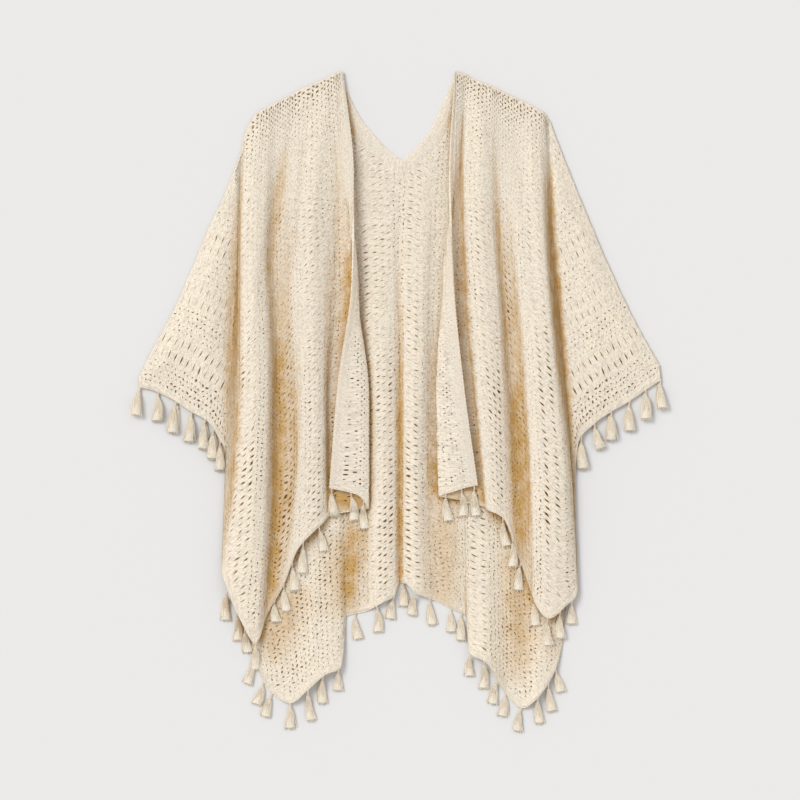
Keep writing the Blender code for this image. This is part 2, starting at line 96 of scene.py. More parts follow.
# Dense edges.
HEM_STEP = 1.5
HEM_SAMPLES = 40         # places looked at between two fold lines of a hem
HEM_ROWS = 5
HEM_RISE = 0.55
HEM_RIB = 5.5
SLEEVE_BAND = 9.5        # width of the dense band on a sleeve
STRIP_KNOT = 0.25        # unevenness of the knots of dense strips
EDGE_ACROSS = 9          # points across and along the band of an opening edge
EDGE_DOWN = 400
EDGE_RIB = 4.6
EDGE_GROOVES = 2         # grooves along the band of an opening edge, and their depth
BAND_GROOVE = 0.28
EDGE_OPEN = (0.3, 0.4, 0.5, 0.6, 0.6)
EDGE_WIDTH = 12.0
SCALLOP = 0.9
SCALLOP_PITCH = 5.2
NECK_ALONG = 320
NECK_ACROSS = 12
NECK_WIDTH = 14.0
NECK_OVERLAP = 1.04      # how far the neck band runs on over the back's edge
NECK_RIBS = 4
NECK_RIB = 0.35
SEAM_AT = 0.87           # part of the way across the neck band where it is sewn on
SEAM_WIDTH = 0.05
SEAM_DIP = 1.3           # depth of the stitched line beside the neck band
SEAM_PITCH = 4.4
ROLL_RADIUS = 1.15       # of the middle of the cloth where it turns over the shoulder
ROLL_HEIGHT = 2.15
ROLL_SET_BACK = 0.6
ROLL_RIB = 0.25
ROLL_TURN = np.radians(np.linspace(100, -100, 9))
ROLL_WEAVE = 3.0         # width of the roll in lace coordinates, for each radian

# Tassels. The parts of one are given as shares of its length.
LOOP_STEP = 1.6
LOOP_PITCH = 4.4
LOOP_REACH = 0.9
LOOP_RADIUS = 1.1
LOOP_WAVE = 0.45
LOOP_SIDES = 6
CORD_SHARE = 0.22        # part of a tassel's length that is cord
NECK_SHARE = 0.32        # where the wrapped neck ends and the skirt starts
CORD_END = CORD_SHARE + 0.02     # the parts run into each other a little
NECK_START = CORD_SHARE - 0.02
CORE_START = NECK_SHARE - 0.03
SKIRT_START = NECK_SHARE - 0.04
CORD_SIDES, NECK_SIDES, CORE_SIDES, STRAND_SIDES = 5, 8, 10, 3
CORD_PITCH = 5.0         # length of one turn of the cord's twist
PLY_RADIUS = 0.75
CORD_STATIONS = 15
NECK_STATIONS = 10
NECK_HALF = 3.2          # half width of the wrapped neck
NECK_FLATNESS = 0.8
SKIRT_HALF = 8.0         # half width of the skirt at its tip
SKIRT_HEIGHT = 3.4       # half height of the skirt
SKIRT_TOP = NECK_HALF * 0.8      # and its half width where it leaves the neck
CORE_END = 0.97          # where the filling between the strands ends
CORE_AT = (NECK_SHARE, 0.6, CORE_END)
CORE_HALF = (SKIRT_TOP, SKIRT_HALF * 0.62, SKIRT_HALF * 0.8)
CORE_FLATNESS = 0.42
STRAND_STATIONS = 6
STRAND_RADIUS = 0.8
STRAND_SPREAD = 0.07     # how much the lengths of strands vary
STRAND_SWAY = 0.9
TASSEL_SHIFT = 31.0      # how far apart the yarn's patterns on two tassels lie
STRANDS = 40
HIDDEN_STRANDS = 14
TASSEL_BEND = 2.0        # how far a tassel bows to one side
TASSEL_STATIONS = 21
TASSEL_AT = (0.0, 0.22, 0.27, 0.33, 0.8, 1.0)
TASSEL_HALF_HEIGHT = (1.4, 1.4, 2.4, 2.4, 2.8, 2.2)
GOLDEN_ANGLE = math.pi * (3 - math.sqrt(5))

# Colours, linear.
LIT_CREAM = (0.97, 0.91, 0.785)
PALE_CREAM = (0.97, 0.915, 0.80)
WHITE_CREAM = (0.98, 0.93, 0.81)
# Colour that the yarn is mixed toward in folds, as painted golden shade.
PAINTED_SHADE_GOLD = (0.66, 0.42, 0.155)
GLOW = (1.0, 0.80, 0.52)         # of light that has come through the yarn
TRANSLUCENCY = 0.28
FLOOR_GREY = (0.64, 0.64, 0.645)

# Painted golden shade in folds, from how much of the sky the cloth round them hides.
PAINTED_SHADE_FROM = 0.13
PAINTED_SHADE_TO = 0.47
SKY_LOW = np.array([-400.0, -480.0])
SKY_SIZE = np.array([800.0, 980.0])
SKY_STEP = 4.0           # spacing of the map of heights
SKY_REACH = (6.0, 12.0, 18.0, 26.0, 36.0, 50.0)
SKY_SIDES = 8
SHADE_LINE_TOP = 13.0          # cloth higher than this is lit, and the lines of painted shade leave it out
SHADE_LINE_FADE = 3.0

# Laying out.
SLEEVE_TUCK = 1.0        # how far a sleeve's lace runs on past the foot of the body's fold
SLEEVE_SAMPLES = 120
LOW_BACK_TOP = -95.0     # above this the back lies hidden beside its middle

# Camera and light, metres and watts.
SENSOR = 36.0
CAMERA_HEIGHT = 6.0
PICTURE_WIDTH = 1.12
CENTRE_X = 0.0007
CENTRE_Y = 0.0014
KEY_FROM = (-0.65, 0.55, 0.95)
KEY_POWER = 1.9
KEY_SPREAD = 0.45        # angle that the soft light fills, in radians
FILL_STRENGTH = 0.846

# A fold line of a laid panel, whose x and height are given at five stations on the way down;
# a tassel's place on its edge and its tip's; a band of lace; and a soft ridge or trough.
Fold = namedtuple("Fold", "name y_top y_hem x height")
Tassel = namedtuple("Tassel", "x y tip_x tip_y")
Band = namedtuple("Band", "kind start end open slant columns", defaults=(0, 0))
Crease = namedtuple("Crease", "x_top y_top x_low y_low width rise")


def rows_of(kind, entries):
    """A given table, with names for the values in its rows."""
    return [kind(*entry) for entry in entries]


# The fronts' heights are to the middle of the cloth, the back's to its underside.
FRONT_LEFT = rows_of(Fold, (
    ("sleeve_tip", 32, 21, (-364, -364, -364, -364, -364), (3.3, 4, 4, 4, 4)),
    ("sleeve_1", 69, 17, (-346, -346, -346, -346, -346), (3.3, 5, 6, 5, 4)),
    ("sleeve_2", 120, 4, (-318, -318, -318, -318, -318), (3.3, 7, 9, 7, 5)),
    ("sleeve_3", 183, -13, (-290, -290, -290, -292, -292), (3.3, 9, 11, 9, 6)),
    ("sleeve_4", 245, -27, (-264, -264, -265, -267, -268), (3.3, 10, 12, 11, 7)),
    ("arm_trough_side", 287, -50, (-244, -244, -246, -248, -253), (3.3, 8, 9, 9, 6)),
    ("arm_trough", 323, -76, (-230, -227, -232, -237, -243), (3.3, 5, 4.6, 4.6, 4.6)),
    ("column_1_foot", 351, -231, (-220, -223, -225, -232, -248), (3.3, 9, 9, 9, 8)),
    ("column_1_left", 377, -259, (-214, -218, -218, -226, -241), (3.3, 20, 23, 23, 14)),
    ("column_1_crest", 403, -304, (-197, -205, -202, -209, -222), (3.3, 23, 28, 29, 17)),
    ("column_1_right", 409, -337, (-186, -191, -186, -191, -201), (3.3, 19, 24, 26, 15)),
    ("trough_1", 416, -295, (-173, -176, -172, -172, -184), (3.3, 8, 6, 5.5, 7)),
    ("column_2_foot", 423, -256, (-160, -160, -156, -149, -162), (3.3, 12, 11, 9, 9)),
    ("column_2_left", 431, -204, (-145, -146, -141, -136, -141), (3.3, 18, 20, 20, 15)),
    ("column_2_crest", 441, -183, (-125, -128, -122, -120, -122), (3.3, 20, 24, 24, 17)),
    ("column_2_right", 448, -169, (-108, -107, -104, -106, -107), (3.3, 15, 17, 17, 13)),
    ("trough_2", 454, -158, (-96, -88, -86, -97, -96), (3.3, 9, 8, 7, 7)),
    ("under_flap", 456, -153, (-90, -82, -74, -69, -69), (3.3, 12, 11, 8, 7)),
    ("opening_fold", 458, -150, (-88, -79, -62, -43, -43), (3.3, 13.5, 14, 14, 10)),
    ("flap_middle", 459, -130, (-85, -76, -58, -55, -58), (3.3, 15, 17, 19, 14)),
    ("band_seam", 460, -123, (-83, -74, -59, -71, -83), (3.3, 16, 20.5, 21, 15)),
    ("opening_edge", 461, -120, (-79, -64, -66, -86, -98), (3.3, 18, 26.5, 22, 15)),
))

FRONT_RIGHT = rows_of(Fold, (
    ("opening_edge", 461, -116, (78, 70, 75, 89, 109), (3.3, 18.5, 25, 22, 15)),
    ("band_seam", 460, -119, (80, 75.5, 65, 75, 94), (3.3, 14, 18.5, 20, 15)),
    ("flap_middle", 459, -125, (83, 78, 61, 62, 75), (3.3, 11.5, 15.5, 18, 14)),
    ("opening_fold", 458, -132, (85, 79.5, 62, 52, 55), (3.3, 10, 12, 13, 9)),
    ("under_flap", 457, -139, (88, 81.5, 71, 74, 85), (3.3, 8.5, 8.5, 8, 7)),
    ("trough_2", 456, -146, (92, 86, 87, 100, 118), (3.3, 6.5, 7, 7, 7)),
    ("column_2_left", 451, -151, (100, 93, 99, 111, 124), (3.3, 16, 19, 19, 14)),
    ("column_2_crest", 445, -155, (113, 107, 115, 127, 134), (3.3, 19, 24, 24, 17)),
    ("column_2_right", 440, -162, (127, 125, 135, 142, 145), (3.3, 16, 19, 19, 14)),
    ("trough_1", 433, -223, (141, 141, 150, 164, 169), (3.3, 12, 9, 6, 7)),
    ("column_1_foot", 426, -265, (156, 156, 167, 178, 184), (3.3, 15, 13, 10, 9)),
    ("column_1_left", 421, -284, (166, 164, 177, 187, 191), (3.3, 20, 23, 24, 15)),
    ("column_1_crest", 414, -302, (181, 183, 197, 208, 209), (3.3, 23, 28, 29, 17)),
    ("column_1_right", 407, -284, (194, 200, 214, 229, 233), (3.3, 20, 24, 24, 14)),
    ("column_1_side", 403, -265, (201, 206, 220, 239, 248), (3.3, 10, 10, 10, 8)),
    ("arm_trough", 391, -119, (209, 213, 223, 234, 246), (3.3, 4.8, 4.6, 4.6, 4.6)),
    ("arm_trough_side", 365, -55, (219, 222, 229, 240, 251), (3.3, 13, 13, 12, 7)),
    ("sleeve_4", 304, -32, (243, 250, 257, 264, 270), (3.3, 12, 14, 12, 7)),
    ("sleeve_3", 246, -14, (267, 275, 282, 289, 295), (3.3, 10, 12, 10, 6)),
    ("sleeve_2", 172, 1, (299, 304, 310, 316, 321), (3.3, 7, 9, 7, 5)),
    ("sleeve_1", 104, 17, (332, 335, 338, 341, 344), (3.3, 5, 6, 5, 4)),
    ("sleeve_tip", 49, 31, (363, 364, 365, 365, 365), (3.3, 4, 4, 4, 4)),
))

FLAT = (0, 0, 0, 0, 0)
BACK = rows_of(Fold, (
    ("sleeve_tip_left", 31, 24, (-362, -362, -362, -362, -362), FLAT),
    ("sleeve_2_left", 119, 7, (-317, -317, -317, -317, -317), FLAT),
    ("sleeve_3_left", 182, -10, (-289, -289, -289, -290, -290), FLAT),
    ("sleeve_4_left", 244, -24, (-262, -262, -264, -265, -267), FLAT),
    ("arm_left", 321, -71, (-230, -229, -232, -237, -244), FLAT),
    ("side_left", 374, -356, (-212, -223, -226, -226, -204), FLAT),
    ("corner_left", 407, -405, (-184, -192, -198, -201, -181), FLAT),
    ("corner_point_left", 423, -421, (-160, -167, -170, -170, -153), (0, 0, 0, 0, 5)),
    ("low_ridge_left", 438, -402, (-128, -139, -142, -139, -128), (0, 0, 0, 2, 11)),
    ("low_crest_left", 449, -381, (-106, -111, -114, -111, -104), (0, 0, 0, 2, 13)),
    ("low_edge_left", 452, -371, (-99, -94, -90, -86, -82), (0, 0, 0, 1.5, 8)),
    ("low_step_left", 427, -300, (-90, -83, -79, -76, -74), FLAT),
    ("shade_left", 377, -293, (-68, -61, -55, -50, -47), FLAT),
    ("ridge_a_left", 358, -287, (-52, -47, -41, -37, -36), (0, 3, 6, 6, 5)),
    ("ridge_a", 342, -279, (-30, -26, -24, -23, -22), (0, 5, 10, 11, 9)),
    ("ridge_a_right", 325, -272, (-12, -10, -9, -8, -8), (0, 3, 5, 6, 6)),
    ("crease_1", 315, -253, (2, -1, 1, 1, 1), FLAT),
    ("ridge_b_left", 321, -253, (12, 9, 9, 8, 8), (0, 4, 6, 7, 7)),
    ("ridge_b", 333, -267, (26, 22, 20, 20, 23), (0, 5, 10, 11, 10)),
    ("ridge_b_right", 346, -273, (40, 36, 34, 34, 38), (0, 3, 5, 5, 5)),
    ("crease_2", 361, -279, (55, 48, 46, 46, 52), FLAT),
    ("shade_right", 386, -290, (69, 64, 62, 64, 74), FLAT),
    ("low_step_right", 433, -300, (90, 88, 88, 89, 93), FLAT),
    ("low_edge_right", 452, -351, (99, 96, 96, 96, 99), (0, 0, 0, 1.5, 7)),
    ("low_crest_1", 445, -363, (113, 113, 114, 117, 120), (0, 0, 0, 2, 12)),
    ("low_crease_right", 435, -412, (136, 139, 144, 149, 152), FLAT),
    ("corner_point_right", 426, -428, (155, 160, 166, 169, 172), (0, 0, 0, 0, 3)),
    ("low_crest_2", 416, -412, (177, 183, 188, 191, 194), (0, 0, 0, 3, 12)),
    ("corner_right", 406, -372, (197, 205, 214, 219, 219), (0, 0, 0, 0, 5)),
    ("side_right", 392, -335, (208, 219, 227, 230, 229), FLAT),
    ("arm_right", 364, -50, (219, 223, 230, 240, 250), FLAT),
    ("sleeve_4_right", 302, -29, (241, 248, 255, 262, 268), FLAT),
    ("sleeve_3_right", 245, -11, (265, 274, 281, 288, 293), FLAT),
    ("sleeve_2_right", 171, 4, (298, 303, 309, 314, 320), FLAT),
    ("sleeve_tip_right", 48, 34, (362, 363, 363, 363, 363), FLAT),
))

# The free edge of the back neck band, one point for each fold line that it crosses.
NECK_FIRST = "low_edge_left"
NECK_EDGE = (
    (-81, 459), (-75, 438), (-54, 395), (-39, 376), (-18, 353), (-4, 342), (4, 337),
    (10, 342), (17, 348), (28, 359), (40, 374), (53, 399), (72, 444), (80, 459),
)

# Where each tassel's cord leaves the edge, and where its tip lies.
SLEEVE_LEFT_TASSELS = rows_of(Tassel, (
    (-363, 21, -368, -20), (-337, 14, -340, -28), (-312, 0, -317, -45), (-290, -11, -295, -57),
    (-271, -22, -275, -67), (-257, -35, -262, -81), (-250, -53, -251, -97),
))
SLEEVE_RIGHT_TASSELS = rows_of(Tassel, (
    (365, 31, 368, -10), (344, 17, 344, -25), (321, 3, 323, -42), (296, -14, 296, -55),
    (272, -31, 281, -67), (255, -49, 257, -95),
))
FRONT_LEFT_TASSELS = rows_of(Tassel, (
    (-240, -263, -243, -307), (-227, -294, -227, -335), (-215, -316, -211, -352),
    (-201, -337, -202, -376), (-173, -279, -173, -309), (-160, -256, -158, -294),
    (-149, -225, -146, -265), (-135, -195, -136, -241), (-113, -175, -106, -210),
))
FLAP_LEFT_TASSELS = rows_of(Tassel, (
    (-94, -120, -90, -162), (-69, -126, -64, -167), (-52, -139, -48, -179),
))
FRONT_RIGHT_TASSELS = rows_of(Tassel, (
    (145, -162, 150, -203), (158, -190, 158, -232), (170, -225, 167, -265), (187, -276, 190, -314),
    (206, -302, 208, -342), (225, -293, 225, -332), (239, -276, 241, -312),
))
FLAP_RIGHT_TASSELS = rows_of(Tassel, (
    (65, -129, 69, -168), (86, -122, 89, -161), (105, -117, 108, -161),
))
BACK_LEFT_TASSELS = rows_of(Tassel, (
    (-200, -366, -213, -396), (-190, -392, -201, -424), (-177, -407, -187, -442),
    (-153, -421, -153, -458), (-127, -402, -124, -447), (-106, -383, -108, -423),
    (-86, -373, -86, -405),
))
BACK_CENTRE_TASSELS = rows_of(Tassel, (
    (-62, -297, -57, -333), (-33, -284, -30, -323), (-8, -272, -12, -305), (5, -253, 6, -287),
    (23, -267, 17, -300), (43, -275, 46, -313), (72, -289, 73, -323), (86, -297, 86, -335),
))
BACK_RIGHT_TASSELS = rows_of(Tassel, (
    (100, -353, 98, -385), (118, -362, 117, -402), (135, -390, 131, -424), (148, -408, 144, -441),
    (170, -428, 165, -462), (192, -412, 196, -451), (206, -393, 213, -434), (218, -374, 226, -407),
))

# Softer creases between the main folds: ridges rise and troughs sink.
LEFT_CREASES = rows_of(Crease, (
    (-150, 405, -196, 120, 9, -1.8), (-176, 385, -214, 60, 8, 1.5), (-128, 432, -152, 150, 8, -1.7),
    (-104, 445, -126, 190, 7, 1.5), (-214, 60, -233, -190, 7, -1.4),
    (-196, -40, -212, -270, 8, 1.6), (-122, 60, -130, -150, 7, -1.6),
    (-106, -10, -113, -160, 6, 1.4), (-140, 150, -142, -120, 6, -1.2),
    (-70, 80, -64, -100, 6, -1.0), (-246, 250, -302, 45, 15, 1.8), (-282, 170, -338, 32, 9, 1.5),
    (-258, 140, -284, 0, 9, 1.6), (-296, 120, -346, 25, 10, 1.4),
))
RIGHT_CREASES = rows_of(Crease, (
    (110, 438, 118, 190, 8, 1.6), (126, 425, 141, 170, 8, -1.8), (158, 415, 190, 110, 8, -1.6),
    (178, 400, 214, 60, 8, 1.6), (120, 60, 133, -140, 7, -1.5), (106, 160, 118, -60, 6, 1.3),
    (196, 30, 214, -260, 7, -1.5), (216, 80, 238, -240, 7, 1.3), (70, 90, 76, -100, 6, -1.0),
    (246, 260, 300, 50, 15, 1.8), (280, 180, 336, 36, 9, 1.5), (262, 130, 290, -5, 9, 1.6),
    (300, 130, 345, 35, 10, 1.4),
))
BACK_CREASES = rows_of(Crease, (
    (-150, -180, -168, -395, 9, 2.2), (-112, -160, -126, -370, 8, 1.6),
    (-184, -230, -186, -390, 8, 1.6), (150, -190, 164, -405, 9, 2.2),
    (196, -190, 206, -370, 8, 1.6), (-34, 250, -32, -40, 5, 1.2), (36, 240, 30, -60, 5, 1.2),
))
# Lines of painted shade: where folds are painted more golden than the sky they hide tells, or less:
# rise is by how much.
LEFT_SHADE_LINES = rows_of(Crease, (
    (-112, -128, -28, -160, 15, 0.9), (-176, -90, -176, -345, 13, 0.75),
    (-164, 90, -170, -130, 9, 0.3), (-96, -20, -104, -205, 6, 0.35),
    (-212, -120, -208, -290, 14, 0.4), (-92, 200, -98, -130, 14, -0.7),
    (-182, 300, -184, 20, 13, -0.45), (-232, 200, -238, 20, 8, 0.4),
))
RIGHT_SHADE_LINES = rows_of(Crease, (
    (30, -150, 128, -134, 15, 0.7), (158, 30, 172, -300, 10, 0.75), (146, 210, 156, 40, 8, 0.35),
    (66, 400, 76, 110, 16, -0.85), (88, 150, 102, -110, 14, -0.65), (150, 170, 156, -40, 10, -0.4),
))
BACK_SHADE_LINES = rows_of(Crease, (
    (-67, -150, -70, -300, 13, 0.85), (-46, -90, -52, -240, 8, 0.5),
    (-134, -250, -186, -370, 24, 0.6), (0, 60, 2, -285, 5, 0.6), (60, -110, 62, -310, 24, 0.55),
    (-86, -180, -80, -310, 24, 0.45), (-44, 260, -42, 30, 15, -0.5), (40, 240, 46, -90, 13, -0.6),
    (-66, 400, -58, 90, 13, -0.8), (67, 400, 58, 70, 14, -0.9), (154, -160, 164, -400, 18, 0.6),
    (206, -240, 214, -360, 9, 0.4), (184, -230, 186, -385, 24, 0.3),
))

# The lace of each panel. Columns are counted in fold lines on the body, and in millimetres
# from the hem on a sleeve. A band without a number of columns is split into mesh cells.
# Openness is given at five stations on the way down, or along the hem on a sleeve.
FRONT_LEFT_LACE = (
    Band("mesh", 6.0, 7.6, (0.6, 0.6, 0.7, 0.7, 0.9)),
    Band("ladder", 7.6, 9.3, (0.5, 0.5, 0.85, 1.2, 1.1), 38),
    Band("mesh", 9.3, 11.4, (0.6, 0.6, 0.8, 0.9, 1.0)),
    Band("ladder", 11.4, 12.6, (0.5, 0.65, 0.75, 1.2, 1.1), 30),
    Band("mesh", 12.6, 13.5, (0.6, 0.6, 0.6, 0.6, 0.6)),
    Band("ladder", 13.5, 14.8, (0.5, 0.5, 0.5, 1.2, 0.95), 20),
    Band("mesh", 14.8, 17.8, (0.8, 0.6, 0.6, 0.8, 0.9)),
    Band("mesh", 17.8, 20.0, (0.8, 0.8, 1.0, 1.2, 1.2), columns=7),
)
FRONT_RIGHT_LACE = (
    Band("mesh", 1.0, 3.2, (0.8, 0.8, 1.0, 1.2, 1.2), columns=7),
    Band("mesh", 3.2, 5.7, (0.6, 0.6, 0.7, 0.8, 0.9)),
    Band("mesh", 5.7, 6.7, (0.7, 0.7, 0.6, 0.5, 0.5)),
    Band("ladder", 6.7, 8.1, (0.65, 0.5, 1.1, 1.2, 0.95), -28),
    Band("mesh", 8.1, 9.1, (0.6, 0.6, 0.6, 0.7, 0.7)),
    Band("ladder", 9.1, 10.2, (0.5, 0.85, 1.1, 0.55, 0.5), -34),
    Band("mesh", 10.2, 11.6, (0.6, 0.6, 0.5, 0.8, 1.0)),
    Band("ladder", 11.6, 12.9, (0.5, 0.65, 1.0, 1.0, 0.9), -40),
    Band("mesh", 12.9, 15.0, (0.6, 0.6, 0.7, 0.9, 1.1)),
)
BACK_CENTRE_LACE = (
    Band("mesh", 11.0, 12.5, (0.8, 0.8, 0.6, 0.7, 0.8)),
    Band("ladder", 12.5, 13.4, (0.55, 0.95, 0.65, 0.5, 0.55), 14),
    Band("ladder", 13.4, 15.0, (0.5, 0.5, 0.95, 1.2, 1.3), 10),
    Band("mesh", 15.0, 16.9, (0.7, 0.7, 0.7, 0.8, 0.9)),
    Band("ladder", 16.9, 18.6, (0.5, 0.85, 0.95, 1.1, 1.3), -10),
    Band("mesh", 18.6, 19.8, (0.4, 0.5, 0.6, 0.8, 0.7)),
    Band("mesh", 19.8, 22.0, (0.6, 0.6, 0.6, 0.6, 0.7)),
)
BACK_LOW_LACE = (
    (
        Band("mesh", 5.0, 10.0, (0.8, 0.8, 0.9, 0.9, 0.9)),
        Band("ladder", 10.0, 11.0, (1.1, 1.1, 1.1, 1.1, 1.1), 12),
    ),
    (
        Band("mesh", 22.0, 23.1, (0.8, 0.8, 0.8, 0.8, 0.8)),
        Band("ladder", 23.1, 24.2, (1.1, 1.1, 1.1, 0.95, 0.85), -12),
        Band("mesh", 24.2, 29.0, (0.8, 0.8, 0.9, 0.9, 0.9)),
    ),
)
BACK_UNDER_LACE = (
    (Band("wide", 0.0, 11.0, (0.6, 0.6, 0.6, 0.6, 0.6)),),
    (Band("wide", 22.0, 34.0, (0.6, 0.6, 0.6, 0.6, 0.6)),),
)
SLEEVE_LACE = (
    Band("mesh", 8.0, 44.0, (0.7, 0.9, 1.0, 1.0, 0.9)),
    Band("rungs", 44.0, 65.0, (0.6, 0.8, 0.9, 0.9, 0.9), columns=1),
    Band("rungs", 65.0, 86.0, (0.6, 0.7, 0.8, 0.8, 0.8), columns=1),
    Band("mesh", 86.0, 126.0, (0.6, 0.7, 0.8, 0.8, 0.7)),
    Band("rungs", 126.0, 145.0, (0.5, 0.6, 0.7, 0.7, 0.6), columns=1),
    Band("rungs", 145.0, 164.0, (0.5, 0.6, 0.6, 0.6, 0.6), columns=1),
    Band("mesh", 164.0, 204.0, (0.5, 0.6, 0.7, 0.7, 0.6)),
    Band("rungs", 204.0, 240.0, (0.4, 0.5, 0.55, 0.55, 0.5), columns=2),
    Band("mesh", 240.0, 392.0, (0.5, 0.6, 0.6, 0.6, 0.6)),
)


def through(values, at):
    """Read a smooth curve through evenly spaced values, one that never overshoots them."""
    values = np.asarray(values, float)
    rise = np.diff(values, axis=0)
    total = rise[:-1] + rise[1:]
    product = rise[:-1] * rise[1:]
    slope = np.zeros_like(values)
    slope[1:-1] = np.where(product > 0, 2 * product / np.where(product > 0, total, 1), 0)
    slope[0] = rise[0]
    slope[-1] = rise[-1]
    at = np.asarray(at, float)
    span = np.clip(np.floor(at).astype(int), 0, len(values) - 2)
    f = (at - span).reshape((-1,) + (1,) * (values.ndim - 1))
    start = values[span] * (1 + 2 * f) * (1 - f) ** 2 + slope[span] * f * (1 - f) ** 2
    end = values[span + 1] * f * f * (3 - 2 * f) + slope[span + 1] * f * f * (f - 1)
    return start + end


def cloth(folds, across, down):
    """Points of a panel: across counts fold lines, down goes from 0 at the top to 1 at the hem."""
    down = np.asarray(down, float)
    x = through(np.array([fold.x for fold in folds]).T, down * STATIONS).T
    height = through(np.array([fold.height for fold in folds]).T, down * STATIONS).T
    top = np.array([[fold.y_top] for fold in folds], float)
    hem = np.array([[fold.y_hem] for fold in folds], float)
    y = top + (hem - top) * down
    return through(np.stack([x, y, height], axis=-1), across)


def unit(vectors):
    return vectors / np.maximum(np.linalg.norm(vectors, axis=-1, keepdims=True), 1e-9)


def lengths(line):
    """Distance along a line of points at each of them."""
    return np.concatenate([[0], np.cumsum(np.linalg.norm(np.diff(line, axis=0), axis=1))])


def scatter(a, b, salt):
    """A repeatable number from -1 to 1 for each pair of whole numbers."""
    mixed = np.sin(np.asarray(a) * 12.9898 + np.asarray(b) * 78.233 + salt * 37.719) * 43758.5453
    return 2 * (mixed - np.floor(mixed)) - 1


def near_line(points, crease):
    """How close points are to a crease's line in plan: 1 on it, fading aside and at its ends."""
    start = np.array([crease.x_top, crease.y_top])
    run = np.array([crease.x_low, crease.y_low]) - start
    length = np.hypot(*run)
    offset = points[..., :2] - start
    along = (offset @ run) / length ** 2
    aside = (offset[..., 0] * run[1] - offset[..., 1] * run[0]) / length
    fade = np.clip(along * (1 - along) * 4, 0, 1) ** 0.7
    return fade * np.exp(-(aside / crease.width) ** 2)


class Panel:
    """A laid panel: a dense grid of points and normals, read by fold number and place down."""

    def __init__(self, folds, lift, wrinkles):
        self.last = len(folds) - 1
        self.fold = np.linspace(0, self.last, self.last * FINE_ACROSS + 1)
        self.points = cloth(folds, self.fold, np.linspace(0, 1, FINE_DOWN + 1))
        self.points[..., 2] += lift
        for crease in wrinkles:
            self.points[..., 2] += crease.rise * near_line(self.points, crease)
        along = np.gradient(self.points, axis=0)
        down = np.gradient(self.points, axis=1)
        self.normals = unit(np.cross(down, along))
        self.arc = lengths(self.points[:, FINE_DOWN // 2])

    def read(self, values, across, down):
        a = np.clip(across, 0, self.last) * FINE_ACROSS
        d = np.clip(down, 0, 1) * FINE_DOWN
        i = np.minimum(a.astype(int), values.shape[0] - 2)
        j = np.minimum(d.astype(int), values.shape[1] - 2)
        f = (a - i)[..., None]
        g = (d - j)[..., None]
        near = values[i, j] * (1 - g) + values[i, j + 1] * g
        far = values[i + 1, j] * (1 - g) + values[i + 1, j + 1] * g
        return near * (1 - f) + far * f

    def at(self, across, down):
        """Points on the panel, and its normals there."""
        return self.read(self.points, across, down), unit(self.read(self.normals, across, down))

    def edge(self, across, down):
        """Points on one line across the panel, at a fixed place down."""
        return self.read(self.points, across, np.full(np.shape(across), float(down)))

    def down_at(self, across, y):
        top = self.edge(across, 0)[..., 1]
        hem = self.edge(across, 1)[..., 1]
        down = (top - y) / (top - hem)
        for _ in range(2):
            error = self.read(self.points, across, down)[..., 1] - y
            down = down + error / (top - hem)
        return down

    def across_at(self, x, y, first, last):
        """The fold number at a point in plan, where the panel doesn't turn back on itself."""
        low = np.full(x.shape, float(first))
        high = np.full(x.shape, float(last))
        for _ in range(16):
            middle = (low + high) / 2
            here = self.read(self.points, middle, self.down_at(middle, y))[..., 0]
            low = np.where(here < x, middle, low)
            high = np.where(here < x, high, middle)
        return (low + high) / 2


class BodyChart:
    """Lace of a front or back: columns count fold lines, rows run down in millimetres."""

    flip = False

    def __init__(self, panel, y_high=math.inf, y_low=-math.inf):
        self.panel = panel
        self.y_high = y_high
        self.y_low = y_low

    def droop(self, column):
        return ROW_SLOPE * np.abs(self.panel.edge(column, 0.5)[..., 0])

    def width(self, column):
        return np.interp(column, self.panel.fold, self.panel.arc)

    def even(self, start, end, count):
        arcs = np.linspace(self.width(start), self.width(end), count + 1)
        return np.interp(arcs, self.panel.arc, self.panel.fold)

    def hem_rise(self, column, distance):
        """Height above the hem line at which the cloth is that far in from the hem."""
        step = 0.25
        run = self.panel.edge(column + step, 1) - self.panel.edge(column - step, 1)
        slope = run[..., 1] / np.maximum(np.abs(run[..., 0]), 0.5)
        return distance * np.minimum(np.sqrt(1 + slope ** 2), STEEPEST_HEM)

    def limits(self, column):
        top = np.minimum(self.panel.edge(column, 0)[..., 1], self.y_high)
        hem = self.panel.edge(column, 1)[..., 1] + self.hem_rise(column, HEM_BAND - HEM_OVERLAP)
        droop = self.droop(column)
        return -top - droop, -np.maximum(hem, self.y_low) - droop

    def place(self, column, row):
        return self.panel.at(column, self.panel.down_at(column, -row - self.droop(column)))


